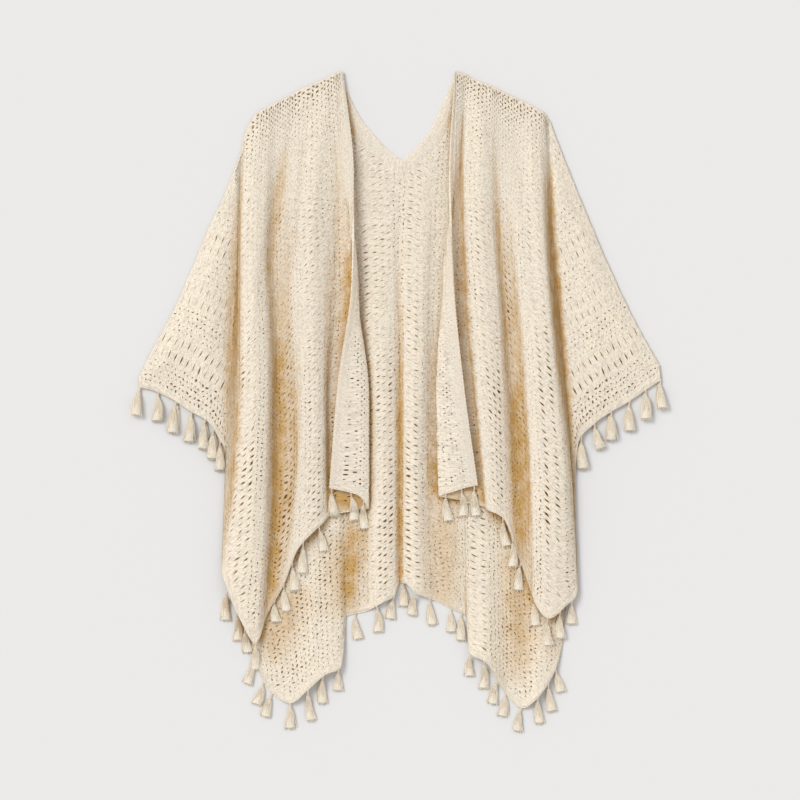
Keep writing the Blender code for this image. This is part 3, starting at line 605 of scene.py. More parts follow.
class SleeveChart:
    """Lace of a sleeve: columns run in from its hem and rows along it, in millimetres."""

    def __init__(self, panel, tip, trough, tuck):
        self.panel = panel
        self.span = (min(tip, trough), max(tip, trough) + 0.3)
        folds = np.linspace(tip, trough, 200)
        self.hem = panel.edge(folds, 1)[:, :2]
        self.fold = np.vstack([self.hem[:1], panel.edge(folds, 0)[:, :2]])
        self.hem_at = lengths(self.hem)
        self.fold_at = lengths(self.fold)
        self.flip = tip > trough
        side = -1 if self.flip else 1
        self.columns = np.linspace(0, self.fold_at[-1], SLEEVE_SAMPLES)
        self.reach = np.zeros_like(self.columns)
        rows = np.linspace(0, self.hem_at[-1], SLEEVE_SAMPLES)
        edge = np.full(rows.shape, float(trough))
        for number, column in enumerate(self.columns):
            spot = self.plan(np.full(rows.shape, column), rows)
            limit = panel.read(panel.points, edge, panel.down_at(edge, spot[:, 1]))[:, 0]
            inside = side * (limit - spot[:, 0]) > -tuck
            stop = len(rows) if inside.all() else int(np.argmin(inside))
            self.reach[number] = rows[stop - 1] if stop else 0

    def plan(self, column, row):
        spots = [
            np.interp(column, self.fold_at, self.fold[:, axis])
            + np.interp(row, self.hem_at, self.hem[:, axis]) - self.hem[0, axis]
            for axis in range(2)
        ]
        return np.stack(spots, axis=-1)

    def width(self, column):
        return np.asarray(column, float)

    def even(self, start, end, count):
        return np.linspace(start, end, count + 1)

    def limits(self, column):
        reach = np.interp(column, self.columns, self.reach, right=0.0)
        return np.zeros_like(reach), reach

    def place(self, column, row):
        spot = self.plan(column, row)
        across = self.panel.across_at(spot[:, 0], spot[:, 1], *self.span)
        points, ups = self.panel.at(across, self.panel.down_at(across, spot[:, 1]))
        points[:, :2] = spot
        return points, ups


def closed(top, bottom, faces):
    """Faces of a thin shell: the skin, its underside, and rims round every free edge."""
    count = len(top)
    edges = np.concatenate([
        np.stack([f[:, i], f[:, (i + 1) % f.shape[1]]], axis=1)
        for f in faces for i in range(f.shape[1])
    ])
    code = edges[:, 0] * count + edges[:, 1]
    mirrored = edges[:, 1] * count + edges[:, 0]
    free = edges[~np.isin(code, mirrored)]
    rims = np.stack([free[:, 1], free[:, 0], free[:, 0] + count, free[:, 1] + count], axis=1)
    under = [f[:, ::-1] + count for f in faces]
    return np.concatenate([top, bottom]), list(faces) + under + [rims]


def joined(shells):
    """Several closed shells with their lace coordinates, as one."""
    points, faces, stitch, count = [], [], [], 0
    for (spots, polygons), weave in shells:
        points.append(spots)
        faces += [f + count for f in polygons]
        if len(weave) < len(spots):
            weave = np.concatenate([weave, weave])
        stitch.append(weave)
        count += len(spots)
    return np.concatenate(points), faces, np.concatenate(stitch)


def add_mesh(name, points, faces, stitch, material, shade_lines):
    """Make a mesh from points in millimetres, with the lace's own coordinates on it."""
    mesh = bpy.data.meshes.new(name)
    mesh.vertices.add(len(points))
    mesh.vertices.foreach_set("co", (points * MM).astype(np.float32).ravel())
    corners = np.concatenate([f.ravel() for f in faces])
    sizes = np.concatenate([np.full(len(f), f.shape[1]) for f in faces])
    mesh.loops.add(len(corners))
    mesh.loops.foreach_set("vertex_index", corners.astype(np.int32))
    mesh.polygons.add(len(sizes))
    starts = np.concatenate([[0], np.cumsum(sizes)[:-1]])
    mesh.polygons.foreach_set("loop_start", starts.astype(np.int32))
    mesh.update(calc_edges=True)
    mesh.validate()
    mesh.shade_smooth()
    mesh.set_sharp_from_angle(angle=SHARP_ANGLE)
    at = mesh.attributes.new("stitch", "FLOAT_VECTOR", "POINT")
    at.data.foreach_set("vector", stitch.astype(np.float32).ravel())
    # Painted golden shade of folds, kept on the points for the material.
    painted_shade = mesh.attributes.new("painted_fold_shade", "FLOAT", "POINT")
    painted_shade.data.foreach_set("value", painted_fold_shade(points, shade_lines).astype(np.float32))
    mesh.materials.append(material)
    made = bpy.data.objects.new(name, mesh)
    bpy.context.scene.collection.objects.link(made)
    return made


def piece(name, shells, slot, nodes, shade_lines=()):
    """Join shells into one piece of the wrap that stands for some of the frame's nodes."""
    made = add_mesh(name, *joined(shells), YARN[slot], shade_lines)
    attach(made, "root")
    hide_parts(*nodes)


def columns_of(chart, bands):
    """Sides and middles of a lattice's columns of cells, each one's band, and the bars."""
    marks, owners, bars = [bands[0].start], [], [0]
    for band in bands:
        wide = abs(chart.width(band.end) - chart.width(band.start))
        count = band.columns or max(1, round(wide / KINDS[band.kind].width))
        marks += list(chart.even(band.start, band.end, count)[1:])
        owners += [band] * count
        bars.append(2 * len(owners))
    marks = np.array(marks)
    columns = np.empty(2 * len(marks) - 1)
    columns[0::2] = marks
    columns[1::2] = (marks[1:] + marks[:-1]) / 2
    return columns, owners, bars


def ring_of(column, row, rows):
    """Corners of a cell, down its left side, along its foot and up its right side to its top."""
    down = np.arange(rows + 1)
    half = np.concatenate([np.zeros(rows + 1), [1], np.full(rows + 1, 2), [1]]).astype(int)
    step = np.concatenate([down, [rows], down[::-1], [0]])
    return 2 * column + half, row[:, None] + step


def cells_of(i, kind, top, foot):
    """Corners of a column's solid cells and of those with a hole, whose rows are given too."""
    rows = KINDS[kind].rows
    shift = 0 if kind == "rungs" else i * (rows // 2) % rows
    near = slice(2 * i, 2 * i + 3)
    first = math.floor((top[near].min() / STITCH - shift) / rows) * rows + shift
    last = math.ceil(foot[near].max() / STITCH)
    starts = np.arange(first, last, rows)
    half, row = ring_of(i, starts, rows)
    half = np.broadcast_to(half, row.shape)
    high = row * STITCH < top[half] + SNAP * STITCH
    low = row * STITCH > foot[half] - SNAP * STITCH
    row = np.where(high, -CLAMPED, np.where(low, CLAMPED, row))
    shown = ~(high.all(axis=1) | low.all(axis=1) | (foot[half] <= top[half]).any(axis=1))
    upper = np.maximum(starts[:, None] * STITCH, top[near])
    lower = np.minimum((starts[:, None] + rows) * STITCH, foot[near])
    room = (lower - upper) / (rows * STITCH)
    holed = shown & (room[:, 1] > HOLE_ROOM) & (room.min(axis=1) > HOLE_ROOM / 2)
    keys = half.astype(np.int64) * 4 * CLAMPED + row
    spans = np.stack([upper[holed, 1], lower[holed, 1]], axis=1)
    return keys[shown & ~holed], keys[holed], starts[holed], spans


def knots_of(chart, keys, columns, bars, top, foot):
    """Places and normals of the cells' corners, their rise and their lace coordinates."""
    row = (keys + 2 * CLAMPED) % (4 * CLAMPED) - 2 * CLAMPED
    half = ((keys - row) // (4 * CLAMPED)).astype(int)
    free = np.abs(row) < CLAMPED
    # Keyed by place, so that two lattices that meet along a band agree on their common edge.
    key = np.round(columns[half] * 50)
    wave = WAVE * (scatter(key, row, 1.0) + np.sin(key * 0.031 + row * 0.09)) * free
    r = np.clip(np.where(free, row * STITCH, row), top[half], foot[half]) + wave
    inside = free & (half > 0) & (half < len(columns) - 1)
    per_mm = np.gradient(columns) / np.gradient(chart.width(columns))
    sway = SWAY * scatter(key, row, 3.0) * inside
    spots, ups = chart.place(columns[half] + sway * per_mm[half], r)
    rise = BAR_RISE * np.isin(half, bars) + KNOT_RISE * scatter(key, row, 2.0) * free
    weave = np.column_stack([chart.width(columns[half]), r, np.full(len(r), KNOT_LAYER)])
    return spots, ups, rise, weave


def gapes(band, i, starts, share, to_top, to_hem, salt, yoke):
    """How open each hole of a column is: by its band, luck, its patch, the hem and the yoke."""
    luck = (0.5 + 0.5 * scatter(starts, i, salt + 2)) ** GAPE_POWER
    gape = through(band.open, share * STATIONS) * (LEAST_GAPE + GAPE_SPREAD * luck)
    patch = np.sin(starts * PATCH_ROWS[0] + i * PATCH_COLUMNS[0] + salt)
    patch = patch * np.sin(starts * PATCH_ROWS[1] + i * PATCH_COLUMNS[1])
    gape = gape * np.clip(1 + KINDS[band.kind].patches * patch, *PATCH_LIMITS)
    gape = gape + yoke * np.exp(-to_top / YOKE_DEPTH)
    return gape * np.clip(to_hem / HEM_CLOSING, HEM_GAPE, 1)


def hole_shape(band, gape, swing, tall, cell_wide):
    """The rim of each hole round its cell's middle: how far along the columns and the rows."""
    kind = KINDS[band.kind]
    if kind.slit:
        long_half, wide_half = min(kind.slit, SLIT_ROOM * cell_wide), SLIT
    elif band.kind == "wide":
        long_half = wide_half = WIDE_HOLE
    else:
        long_half, wide_half = min(EYELET, EYELET_ROOM * cell_wide), EYELET
    half, step = ring_of(0, np.array([0]), kind.rows)
    corner = np.arctan2(kind.rows / 2 - step[0], (half - 1) * kind.rows / 2)
    turn = math.radians(band.slant) + kind.slants * swing[:, None]
    angle = corner - turn
    lens = np.sin(angle)
    if kind.slit:
        stretch = np.clip(SLIT_STRETCH[0] + SLIT_STRETCH[1] * gape, 0, 1.3)
        narrow = wide_half * gape
        lens = lens * np.abs(lens) ** SLIT_ENDS
    else:
        stretch = gape * (1 + EYELET_SPREAD)
        narrow = wide_half * gape * (1 - EYELET_SPREAD)
    along = long_half * np.cos(angle) * stretch[:, None]
    across = np.minimum(narrow, TALLEST * tall)[:, None] * lens
    return (
        along * np.cos(turn) - across * np.sin(turn),
        -along * np.sin(turn) - across * np.cos(turn),
    )


def holes_of(chart, band, i, starts, spans, columns, top, foot, salt, yoke):
    """Rims of a column's holes on the cloth's top and underside, and their lace coordinates."""
    kind = KINDS[band.kind]
    left, middle, right = columns[2 * i:2 * i + 3]
    cell_wide = abs(chart.width(right) - chart.width(left))
    centre = spans.mean(axis=1)
    tall = spans[:, 1] - spans[:, 0]
    to_top = centre - top[2 * i + 1]
    to_hem = foot[2 * i:2 * i + 3].min() - centre
    share = np.clip(to_top / max(foot[2 * i + 1] - top[2 * i + 1], 1), 0, 1)
    gape = gapes(band, i, starts, share, to_top, to_hem, salt, yoke)
    c_way, r_way = hole_shape(band, gape, scatter(starts, i, salt + 3), tall, cell_wide)
    drift = kind.drift * scatter(starts, i, salt + 4)[:, None]
    c_share = np.clip((c_way + drift) / max(cell_wide, 0.1), -SIDE_ROOM, SIDE_ROOM)
    c = middle + c_share * (right - left)
    room = END_ROOM * tall[:, None]
    centre = centre[:, None]
    r = centre + np.clip(r_way + drift / 2, -room, room)
    points, up = chart.place(c.ravel(), r.ravel())
    rim = RIM_RISE * np.clip(np.repeat(gape, c.shape[1]), 0, 1)
    over = points + up * (CLOTH / 2 + rim[:, None])
    funnel = np.clip(kind.funnel + FUNNEL_OPENING * gape, 0, WIDEST_FUNNEL)[:, None]
    c_under = middle + (c - middle) * funnel
    points, up = chart.place(c_under.ravel(), (centre + (r - centre) * funnel).ravel())
    weave = np.column_stack([chart.width(c.ravel()), r.ravel(), np.full(c.size, RIM_LAYER)])
    return over, points - up * CLOTH / 2, weave


def fans(ring, first):
    """Triangles from the middle of each cell to its ring, without sides that lead there and back."""
    middle = np.broadcast_to((first + np.arange(len(ring)))[:, None], ring.shape)
    following = np.roll(ring, -1, axis=1)
    there = ring * first + following
    back_again = following * first + ring
    kept = ~(there[:, :, None] == back_again[:, None, :]).any(axis=2)
    return [np.stack([ring, following, middle], axis=-1)[kept]]


def walls(ring, first):
    """Faces from each cell's ring to its hole, triangles where two corners of the ring meet."""
    hole = first + np.arange(ring.size).reshape(ring.shape)
    after = np.roll(ring, -1, axis=1)
    hole_after = np.roll(hole, -1, axis=1)
    apart = ring != after
    return [
        np.stack([ring, after, hole_after, hole], axis=-1)[apart],
        np.stack([ring, hole_after, hole], axis=-1)[~apart],
    ]


def lattice(chart, bands, salt, yoke=0.0):
    """One skin of lace on a chart: a closed shell with an eyelet or a slit in every cell."""
    columns, owners, bars = columns_of(chart, bands)
    top, foot = chart.limits(columns)
    cells = [cells_of(i, band.kind, top, foot) for i, band in enumerate(owners)]
    rings = [cell[0] for cell in cells] + [cell[1] for cell in cells]
    keys, numbers = np.unique(np.concatenate([r.ravel() for r in rings]), return_inverse=True)
    ends = np.cumsum([r.size for r in rings])
    rings = [part.reshape(r.shape) for part, r in zip(np.split(numbers, ends[:-1]), rings)]
    spots, ups, rise, weave = knots_of(chart, keys, columns, bars, top, foot)
    skins = [(spots + ups * (CLOTH / 2 + rise[:, None]), spots - ups * CLOTH / 2, weave)]
    faces = []
    count = len(keys)
    for ring in rings[:len(owners)]:
        faces += fans(ring, count)
        middle = spots[ring].mean(axis=1)
        up = unit(ups[ring].mean(axis=1))
        half = up * CLOTH / 2
        skins.append((middle + half, middle - half, weave[ring].mean(axis=1)))
        count += len(ring)
    for i, ring in enumerate(rings[len(owners):]):
        if len(ring):
            _, _, starts, spans = cells[i]
            faces += walls(ring, count)
            skins.append(
                holes_of(chart, owners[i], i, starts, spans, columns, top, foot, salt, yoke)
            )
            count += ring.size
    if chart.flip:
        faces = [f[:, ::-1] for f in faces]
    over, under, weave = (np.concatenate(parts) for parts in zip(*skins))
    return closed(over, under, faces), weave


def ribbon(points, ups, over, under):
    """A closed strip of dense knitting: a grid of points, thick above and below its middle."""
    rows, columns = points.shape[:2]
    at = np.arange(rows * columns).reshape(rows, columns)
    quads = np.stack([at[:-1, :-1], at[:-1, 1:], at[1:, 1:], at[1:, :-1]], axis=-1).reshape(-1, 4)
    first = points[1, 0] - points[0, 0]
    second = points[0, 1] - points[0, 0]
    if np.dot(np.cross(second, first), ups[0, 0]) < 0:
        quads = quads[:, ::-1]
    row, column = np.indices((rows, columns))
    knot = STRIP_KNOT * scatter(row // 2, column, rows)
    top = points + ups * (over + knot)[..., None]
    bottom = points - ups * under[..., None]
    return closed(top.reshape(-1, 3), bottom.reshape(-1, 3), [quads])


def hem_line(panel, start, end, step):
    """Fold numbers along a hem, evenly spaced in millimetres."""
    fine = np.linspace(start, end, int(abs(end - start) * HEM_SAMPLES) + 2)
    at = lengths(panel.edge(fine, 1))
    return np.interp(np.linspace(0, at[-1], int(at[-1] / step) + 2), at, fine)


def dense_profile(share, along, rib):
    """Height of a dense band over the cloth: full in the middle, thin at both edges, ribbed."""
    bow = 1 - (2 * share - 1) ** 6
    return HEM_RISE * bow[None, :] * (0.75 + 0.25 * np.sin(2 * np.pi * along / rib))[:, None]


def strip(points, ups, rise, along, across, under=0.0):
    """A ribbon of knitting with its lace coordinates, raised over the plain cloth."""
    shell = ribbon(points, ups, CLOTH / 2 + rise, CLOTH / 2 + under + np.zeros(rise.shape))
    s, t = np.meshgrid(along, across, indexing="ij")
    return shell, np.column_stack([s.ravel(), t.ravel(), np.full(s.size, STRIP_LAYER)])


def hem_band(panel, chart, start, end):
    """The plain dense band along a hem of the body."""
    across = hem_line(panel, start, end, HEM_STEP)
    share = np.linspace(0, 1, HEM_ROWS)
    y = panel.edge(across, 1)[:, 1:2] + chart.hem_rise(across, HEM_BAND)[:, None] * share
    grid = np.broadcast_to(across[:, None], y.shape)
    points, ups = panel.at(grid, panel.down_at(grid, y))
    along = lengths(points[:, 0])
    return strip(points, ups, dense_profile(share, along, HEM_RIB), along, share * HEM_BAND)


def sleeve_band(chart):
    """The plain dense band along the hem of a sleeve."""
    share = np.linspace(0, 1, HEM_ROWS)
    rows = np.linspace(0, chart.hem_at[-1], int(chart.hem_at[-1] / HEM_STEP))
    column, row = np.broadcast_arrays(share * SLEEVE_BAND, rows[:, None])
    points, ups = chart.place(column.ravel(), row.ravel())
    points = points.reshape(*column.shape, 3)
    ups = ups.reshape(*column.shape, 3)
    return strip(points, ups, dense_profile(share, rows, HEM_RIB), rows, share * HEM_BAND)


def shoulder_roll(panel, start, end):
    """The cloth's turn from the front to the back, along the shoulder."""
    across = np.linspace(start, end, int(abs(end - start) * FINE_ACROSS) + 2)
    line = panel.edge(across, 0)
    run = unit(np.gradient(line, axis=0))
    outward = unit(np.stack([-run[:, 1], run[:, 0], 0 * run[:, 0]], axis=1))
    outward *= np.sign(outward[:, 1:2])
    middle = line * (1, 1, 0) - outward * ROLL_SET_BACK + np.array([0, 0, ROLL_HEIGHT])
    cos, sin = np.cos(ROLL_TURN)[None, :, None], np.sin(ROLL_TURN)[None, :, None]
    ups = outward[:, None] * cos + UP * sin
    points = middle[:, None] + ups * ROLL_RADIUS
    at = lengths(line)
    ribs = ROLL_RIB * np.sin(2 * np.pi * at / HEM_RIB)[:, None]
    return strip(points, ups, ribs + np.zeros(points.shape[:2]), at, ROLL_TURN * ROLL_WEAVE)


def edge_strip(panel, start, end):
    """The firm band of a front's opening edge, between two fold numbers, outer edge last."""
    share = np.linspace(0, 1, EDGE_ACROSS)
    down = np.linspace(0, 1, EDGE_DOWN)
    points, ups = panel.at(*np.broadcast_arrays(start + (end - start) * share, down[:, None]))
    at = lengths(points[:, -1])
    outward = unit(points[:, -1] - points[:, -3])
    scallop = SCALLOP * (np.abs(np.sin(np.pi * at / SCALLOP_PITCH)) - 0.5)
    points = points + (share ** 4)[None, :, None] * (outward * scallop[:, None])[:, None, :]
    groove = BAND_GROOVE * np.cos(share * EDGE_GROOVES * 2 * np.pi)
    rise = dense_profile(share, at, EDGE_RIB) + groove[None, :]
    return strip(points, ups, rise, at, share * EDGE_WIDTH, rise)


def neck_strip(back):
    """The dense band round the back of the neck."""
    first = [fold.name for fold in BACK].index(NECK_FIRST)
    across = np.linspace(first, first + len(NECK_EDGE) - 1, NECK_ALONG)
    free = through(np.array(NECK_EDGE, float), across - first)
    seam = back.edge(across, 0)
    free = np.column_stack([free, seam[:, 2]])
    share = np.linspace(0, 1, NECK_ACROSS)
    points = free[:, None] + (seam - free)[:, None] * (share * NECK_OVERLAP)[None, :, None]
    at = lengths(free)
    ribs = 0.5 - 0.5 * np.cos(share * NECK_RIBS * 2 * np.pi)
    rise = dense_profile(share, at, EDGE_RIB) + ribs[None, :] * NECK_RIB
    stitched = np.sin(np.pi * at / SEAM_PITCH) ** 2
    rise -= SEAM_DIP * stitched[:, None] * np.exp(-((share - SEAM_AT) / SEAM_WIDTH) ** 2)[None, :]
    return strip(points, np.broadcast_to(UP, points.shape), rise, at, share * NECK_WIDTH)


def tube(path, radius, sides, side, up):
    """Points and faces of closed tubes: path (tubes, stations, 3), radius (tubes, stations)."""
    turn = np.arange(sides) * 2 * np.pi / sides
    ring = np.cos(turn)[:, None] * side + np.sin(turn)[:, None] * up
    points = path[:, :, None] + radius[:, :, None, None] * ring
    tubes, stations = radius.shape
    at = np.arange(tubes * stations * sides).reshape(tubes, stations, sides)
    here, there = at[:, :-1], at[:, 1:]
    quads = np.stack([here, np.roll(here, -1, 2), np.roll(there, -1, 2), there], axis=-1)
    caps = [at[:, -1], at[:, 0, ::-1]]
    return points.reshape(-1, 3), [quads.reshape(-1, 4)] + caps


class Ground:
    """Height of the topmost of some frame nodes under a point, in millimetres."""

    def __init__(self, names):
        self.trees = []
        for name in names:
            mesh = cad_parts[name].data
            mesh.calc_loop_triangles()
            corners = [vertex.co / MM for vertex in mesh.vertices]
            faces = [tuple(face.vertices) for face in mesh.loop_triangles]
            self.trees.append(BVHTree.FromPolygons(corners, faces))

    def height(self, x, y):
        hits = [tree.ray_cast(Vector((x, y, 100)), Vector((0, 0, -1)))[0] for tree in self.trees]
        return max([0.0] + [hit.z for hit in hits if hit is not None])


class TasselLine:
    """The middle line of a tassel, from its edge over whatever lies under it to its tip."""

    def __init__(self, start, entry, ground, bend):
        run = np.array([entry.tip_x, entry.tip_y]) - start[:2]
        self.start = start[:2]
        self.reach = np.hypot(*run)
        self.heading = run / self.reach
        self.side = np.array([-self.heading[1], self.heading[0], 0.0])
        self.stations = np.linspace(0, 1, TASSEL_STATIONS)
        plan = start[:2] + self.stations[:, None] * run
        plan = plan + self.side[:2] * (bend * np.sin(np.pi * self.stations))[:, None]
        under = np.array([ground.height(x, y) for x, y in plan])
        body = np.interp(self.stations, TASSEL_AT, TASSEL_HALF_HEIGHT)
        height = np.maximum(start[2] * (1 - self.stations) ** 2, under + body)
        smooth = np.convolve(np.pad(height, 1, "edge"), (0.25, 0.5, 0.25), "valid")
        self.line = np.column_stack([plan, np.maximum(height, smooth)])

    def at(self, share):
        return np.stack([np.interp(share, self.stations, values) for values in self.line.T], axis=-1)

    def weave(self, points, number):
        """Lace coordinates along and across the tassel, apart from those of the others."""
        offset = points[:, :2] - self.start
        across = offset @ self.side[:2] + number * TASSEL_SHIFT
        layer = np.full(len(points), TASSEL_LAYER)
        return np.column_stack([across, offset @ self.heading, layer])


def cord(line):
    """The two twisted plies that a tassel hangs on."""
    share = np.linspace(0, CORD_END, CORD_STATIONS)
    twist = 2 * np.pi * share * line.reach / CORD_PITCH
    plies = []
    for phase in (0, np.pi):
        turn = np.cos(twist + phase)[:, None] * line.side + np.sin(twist + phase)[:, None] * UP
        plies.append(line.at(share) + PLY_RADIUS * turn)
    radius = np.full((2, CORD_STATIONS), PLY_RADIUS)
    return tube(np.array(plies), radius, CORD_SIDES, line.side, UP)


def wrapped_neck(line):
    """The turns of yarn that hold a tassel together."""
    share = np.linspace(NECK_START, NECK_SHARE, NECK_STATIONS)
    swell = 0.85 + 0.15 * np.cos(np.arange(NECK_STATIONS) * np.pi)
    round_off = np.sin(np.linspace(0.5, 2.4, NECK_STATIONS)) ** 0.5
    radius = NECK_HALF * swell * round_off
    return tube(line.at(share)[None], radius[None], NECK_SIDES, line.side, UP * NECK_FLATNESS)


def core(line):
    """A flat filling that keeps the skirt of strands from being seen through."""
    share = np.linspace(CORE_START, CORE_END, 8)
    radius = np.interp(share, CORE_AT, CORE_HALF)
    return tube(line.at(share)[None], radius[None], CORE_SIDES, line.side, UP * CORE_FLATNESS)


def skirt(line, number, strands):
    """Loose strands, spread over an ellipse that widens toward the tip."""
    which = np.arange(strands)
    spot = np.sqrt((which + 0.5) / strands)
    u = (spot * np.cos(which * GOLDEN_ANGLE))[:, None]
    v = (spot * np.sin(which * GOLDEN_ANGLE))[:, None]
    share = np.linspace(SKIRT_START, 1, STRAND_STATIONS)
    f = np.linspace(0, 1, STRAND_STATIONS)
    flare = SKIRT_TOP + (SKIRT_HALF - SKIRT_TOP) * f ** 0.7
    length = 1 + STRAND_SPREAD * scatter(which, number, 5)
    share = share[0] + (share[None] - share[0]) * length[:, None]
    path = line.at(np.minimum(share, 1.0))
    beyond = (np.maximum(share - 1.0, 0) * line.reach)[..., None] * np.array([*line.heading, 0.0])
    sway = STRAND_SWAY * np.sin(f * np.pi * 1.5 + 3 * scatter(which, number, 6)[:, None]) * f
    lean = u * flare * (1 + 0.25 * scatter(which, number, 7)[:, None]) + sway
    rise = v * np.minimum(flare, SKIRT_HEIGHT * (1.1 - 0.4 * f)) * 0.9
    path = path + beyond + lean[..., None] * line.side + rise[..., None] * UP
    thin = STRAND_RADIUS * (1 - 0.35 * f ** 2) * np.ones((strands, 1))
    return tube(path, thin, STRAND_SIDES, line.side, UP)


def fringe(node_name, panel, start, end, entries, ground, strands):
    """The looped edge of a hem and its tassels, as one piece in place of the frame's node."""
    across = hem_line(panel, start, end, LOOP_STEP)
    hem = panel.edge(across, 1)
    outward = unit((hem - panel.edge(across, 0.985)) * (1, 1, 0.4))
    at = lengths(hem)
    loops = LOOP_WAVE * np.sin(2 * np.pi * at / LOOP_PITCH)
    path = hem + outward * (LOOP_REACH + 0.5 * loops)[:, None]
    ups = np.broadcast_to(UP, (1, len(path), 1, 3))
    radius = LOOP_RADIUS + loops * 0.4
    loop_edge = tube(path[None], radius[None], LOOP_SIDES, outward[None, :, None, :], ups)
    s, t = np.meshgrid(at, np.arange(float(LOOP_SIDES)), indexing="ij")
    shells = [(loop_edge, np.column_stack([s.ravel(), t.ravel(), np.full(s.size, STRIP_LAYER)]))]
    for number, entry in enumerate(entries):
        nearest = np.argmin(np.hypot(hem[:, 0] - entry.x, hem[:, 1] - entry.y))
        bend = TASSEL_BEND * scatter(number, strands, 1)
        line = TasselLine(path[nearest], entry, ground, bend)
        for made in (cord(line), wrapped_neck(line), core(line), skirt(line, number, strands)):
            shells.append((made, line.weave(made[0], number)))
    piece(node_name + "_yarn", shells, "tassel_yarn", [node_name])


class Sky:
    """How much of the sky a point sees over the frame's cloth, from a map of its heights."""

    def __init__(self, ground):
        self.count = (SKY_SIZE / SKY_STEP).astype(int)
        x, y = (low + (np.arange(n) + 0.5) * SKY_STEP for low, n in zip(SKY_LOW, self.count))
        self.heights = np.array([[ground.height(here, there) for there in y] for here in x])

    def hidden(self, points):
        total = np.zeros(len(points))
        for number in range(SKY_SIDES):
            angle = 2 * np.pi * number / SKY_SIDES
            way = np.array([math.cos(angle), math.sin(angle)])
            horizon = np.zeros(len(points))
            for distance in SKY_REACH:
                spot = (points[:, :2] + way * distance - SKY_LOW) / SKY_STEP
                i = np.clip(spot.astype(int), 0, self.count - 1)
                rise = (self.heights[i[:, 0], i[:, 1]] - points[:, 2]) / distance
                horizon = np.maximum(horizon, rise)
            total += horizon / np.sqrt(1 + horizon ** 2)
        return total / SKY_SIDES


def painted_fold_shade(points, shade_lines):
    """How much painted golden shade the yarn gets at each point: it gets it in folds, where it sees
    little sky, and along the given lines.
    """
    share = np.clip((SKY.hidden(points) - PAINTED_SHADE_FROM) / (PAINTED_SHADE_TO - PAINTED_SHADE_FROM), 0, 1)
    painted_shade = share * share * (3 - 2 * share)
    deep = np.clip((SHADE_LINE_TOP - points[:, 2]) / SHADE_LINE_FADE, 0, 1)
    # Each given line paints more shade along it, or less where its rise is below nought, only on low
    # cloth.
    for shade_line_or_glow in shade_lines:
        painted_shade = painted_shade + shade_line_or_glow.rise * near_line(points, shade_line_or_glow) * deep
    return np.clip(painted_shade, 0, 1)


def feed(tree, shader, inputs):
    """Link each input of a shader node to the output that is given for it, or set its value."""
    for key, value in inputs.items():
        if isinstance(value, bpy.types.NodeSocket):
            tree.links.new(value, shader.inputs[key])
        else:
            shader.inputs[key].default_value = value


def node(tree, kind, inputs, **settings):
    """Add a shader node with these settings and inputs."""
    made = tree.nodes.new("ShaderNode" + kind)
    for key, value in settings.items():
        setattr(made, key, value)
    feed(tree, made, inputs)
    return made


def remap(tree, value, given, wanted):
    """Turn a value's range into another one."""
    return node(tree, "MapRange", {
        "Value": value, "From Min": given[0], "From Max": given[1],
        "To Min": wanted[0], "To Max": wanted[1],
    }).outputs["Result"]


def yarn(name, lit, knots, relief, hair):
    """Knitted yarn: cream where it is lit, with painted golden shade in folds and a little painted
    shade between stitches, with stitches and loose fibre.
    """
    material = bpy.data.materials.new(name)
    material.use_nodes = True
    tree = material.node_tree
    place = node(tree, "Attribute", {}, attribute_name="stitch").outputs["Vector"]
    painted_shade = node(tree, "Attribute", {}, attribute_name="painted_fold_shade").outputs["Fac"]
    shade_blotch = node(tree, "TexNoise", {"Vector": place, "Scale": 0.045, "Detail": 3.0})
    stretch = node(tree, "Mapping", {"Vector": place, "Scale": knots})
    stitches = node(tree, "TexVoronoi", {
        "Vector": stretch.outputs["Vector"], "Scale": 1.0, "Smoothness": 0.35,
    }, feature="SMOOTH_F1").outputs["Distance"]
    fibre = node(tree, "TexNoise", {
        "Vector": place, "Scale": hair, "Detail": 4.0, "Roughness": 0.65,
    }).outputs["Fac"]

    # Painted shade: folds see less of the sky, and light that has passed through the yarn turns
    # golden there, so their colour is mixed toward a darker gold, in soft patches.
    patchy_shade = remap(tree, shade_blotch.outputs["Fac"], (0.3, 0.7), (0.65, 1.25))
    amount = node(tree, "Math", {0: patchy_shade, 1: painted_shade}, operation="MULTIPLY", use_clamp=True)
    shade = node(tree, "Mix", {
        "Factor": amount.outputs["Value"], "A": (*lit, 1.0), "B": (*PAINTED_SHADE_GOLD, 1.0),
    }, data_type="RGBA")
    # Painted shade: between two stitches the yarn dips, and its colour is made a little darker
    # there.
    gap = remap(tree, stitches, (0.25, 0.75), (1.0, 0.78))
    darker = node(tree, "Mix", {
        "Factor": 1.0, "A": shade.outputs["Result"], "B": gap,
    }, data_type="RGBA", blend_type="MULTIPLY")

    loops = node(tree, "Bump", {
        "Strength": 0.9, "Distance": relief * MM, "Height": stitches,
    }, invert=True)
    fuzz = node(tree, "Bump", {
        "Strength": 0.6, "Distance": 0.35 * MM, "Height": fibre, "Normal": loops.outputs["Normal"],
    })
    surface = tree.nodes["Principled BSDF"]
    feed(tree, surface, {
        "Base Color": darker.outputs["Result"],
        "Roughness": remap(tree, fibre, (0.0, 1.0), (0.8, 0.98)),
        "Specular IOR Level": 0.25,
        "Sheen Weight": 0.18,
        "Sheen Roughness": 0.5,
        "Sheen Tint": (1.0, 0.96, 0.88, 1.0),
        "Normal": fuzz.outputs["Normal"],
    })
    # Some of the light passes through the yarn, so that the layers under it aren't black.
    shade_line_or_glow = node(tree, "BsdfTranslucent", {"Color": (*GLOW, 1.0)})
    mixed = node(tree, "MixShader", {
        "Fac": TRANSLUCENCY, 1: surface.outputs["BSDF"], 2: shade_line_or_glow.outputs["BSDF"],
    })
    feed(tree, tree.nodes["Material Output"], {"Surface": mixed.outputs["Shader"]})
    return material


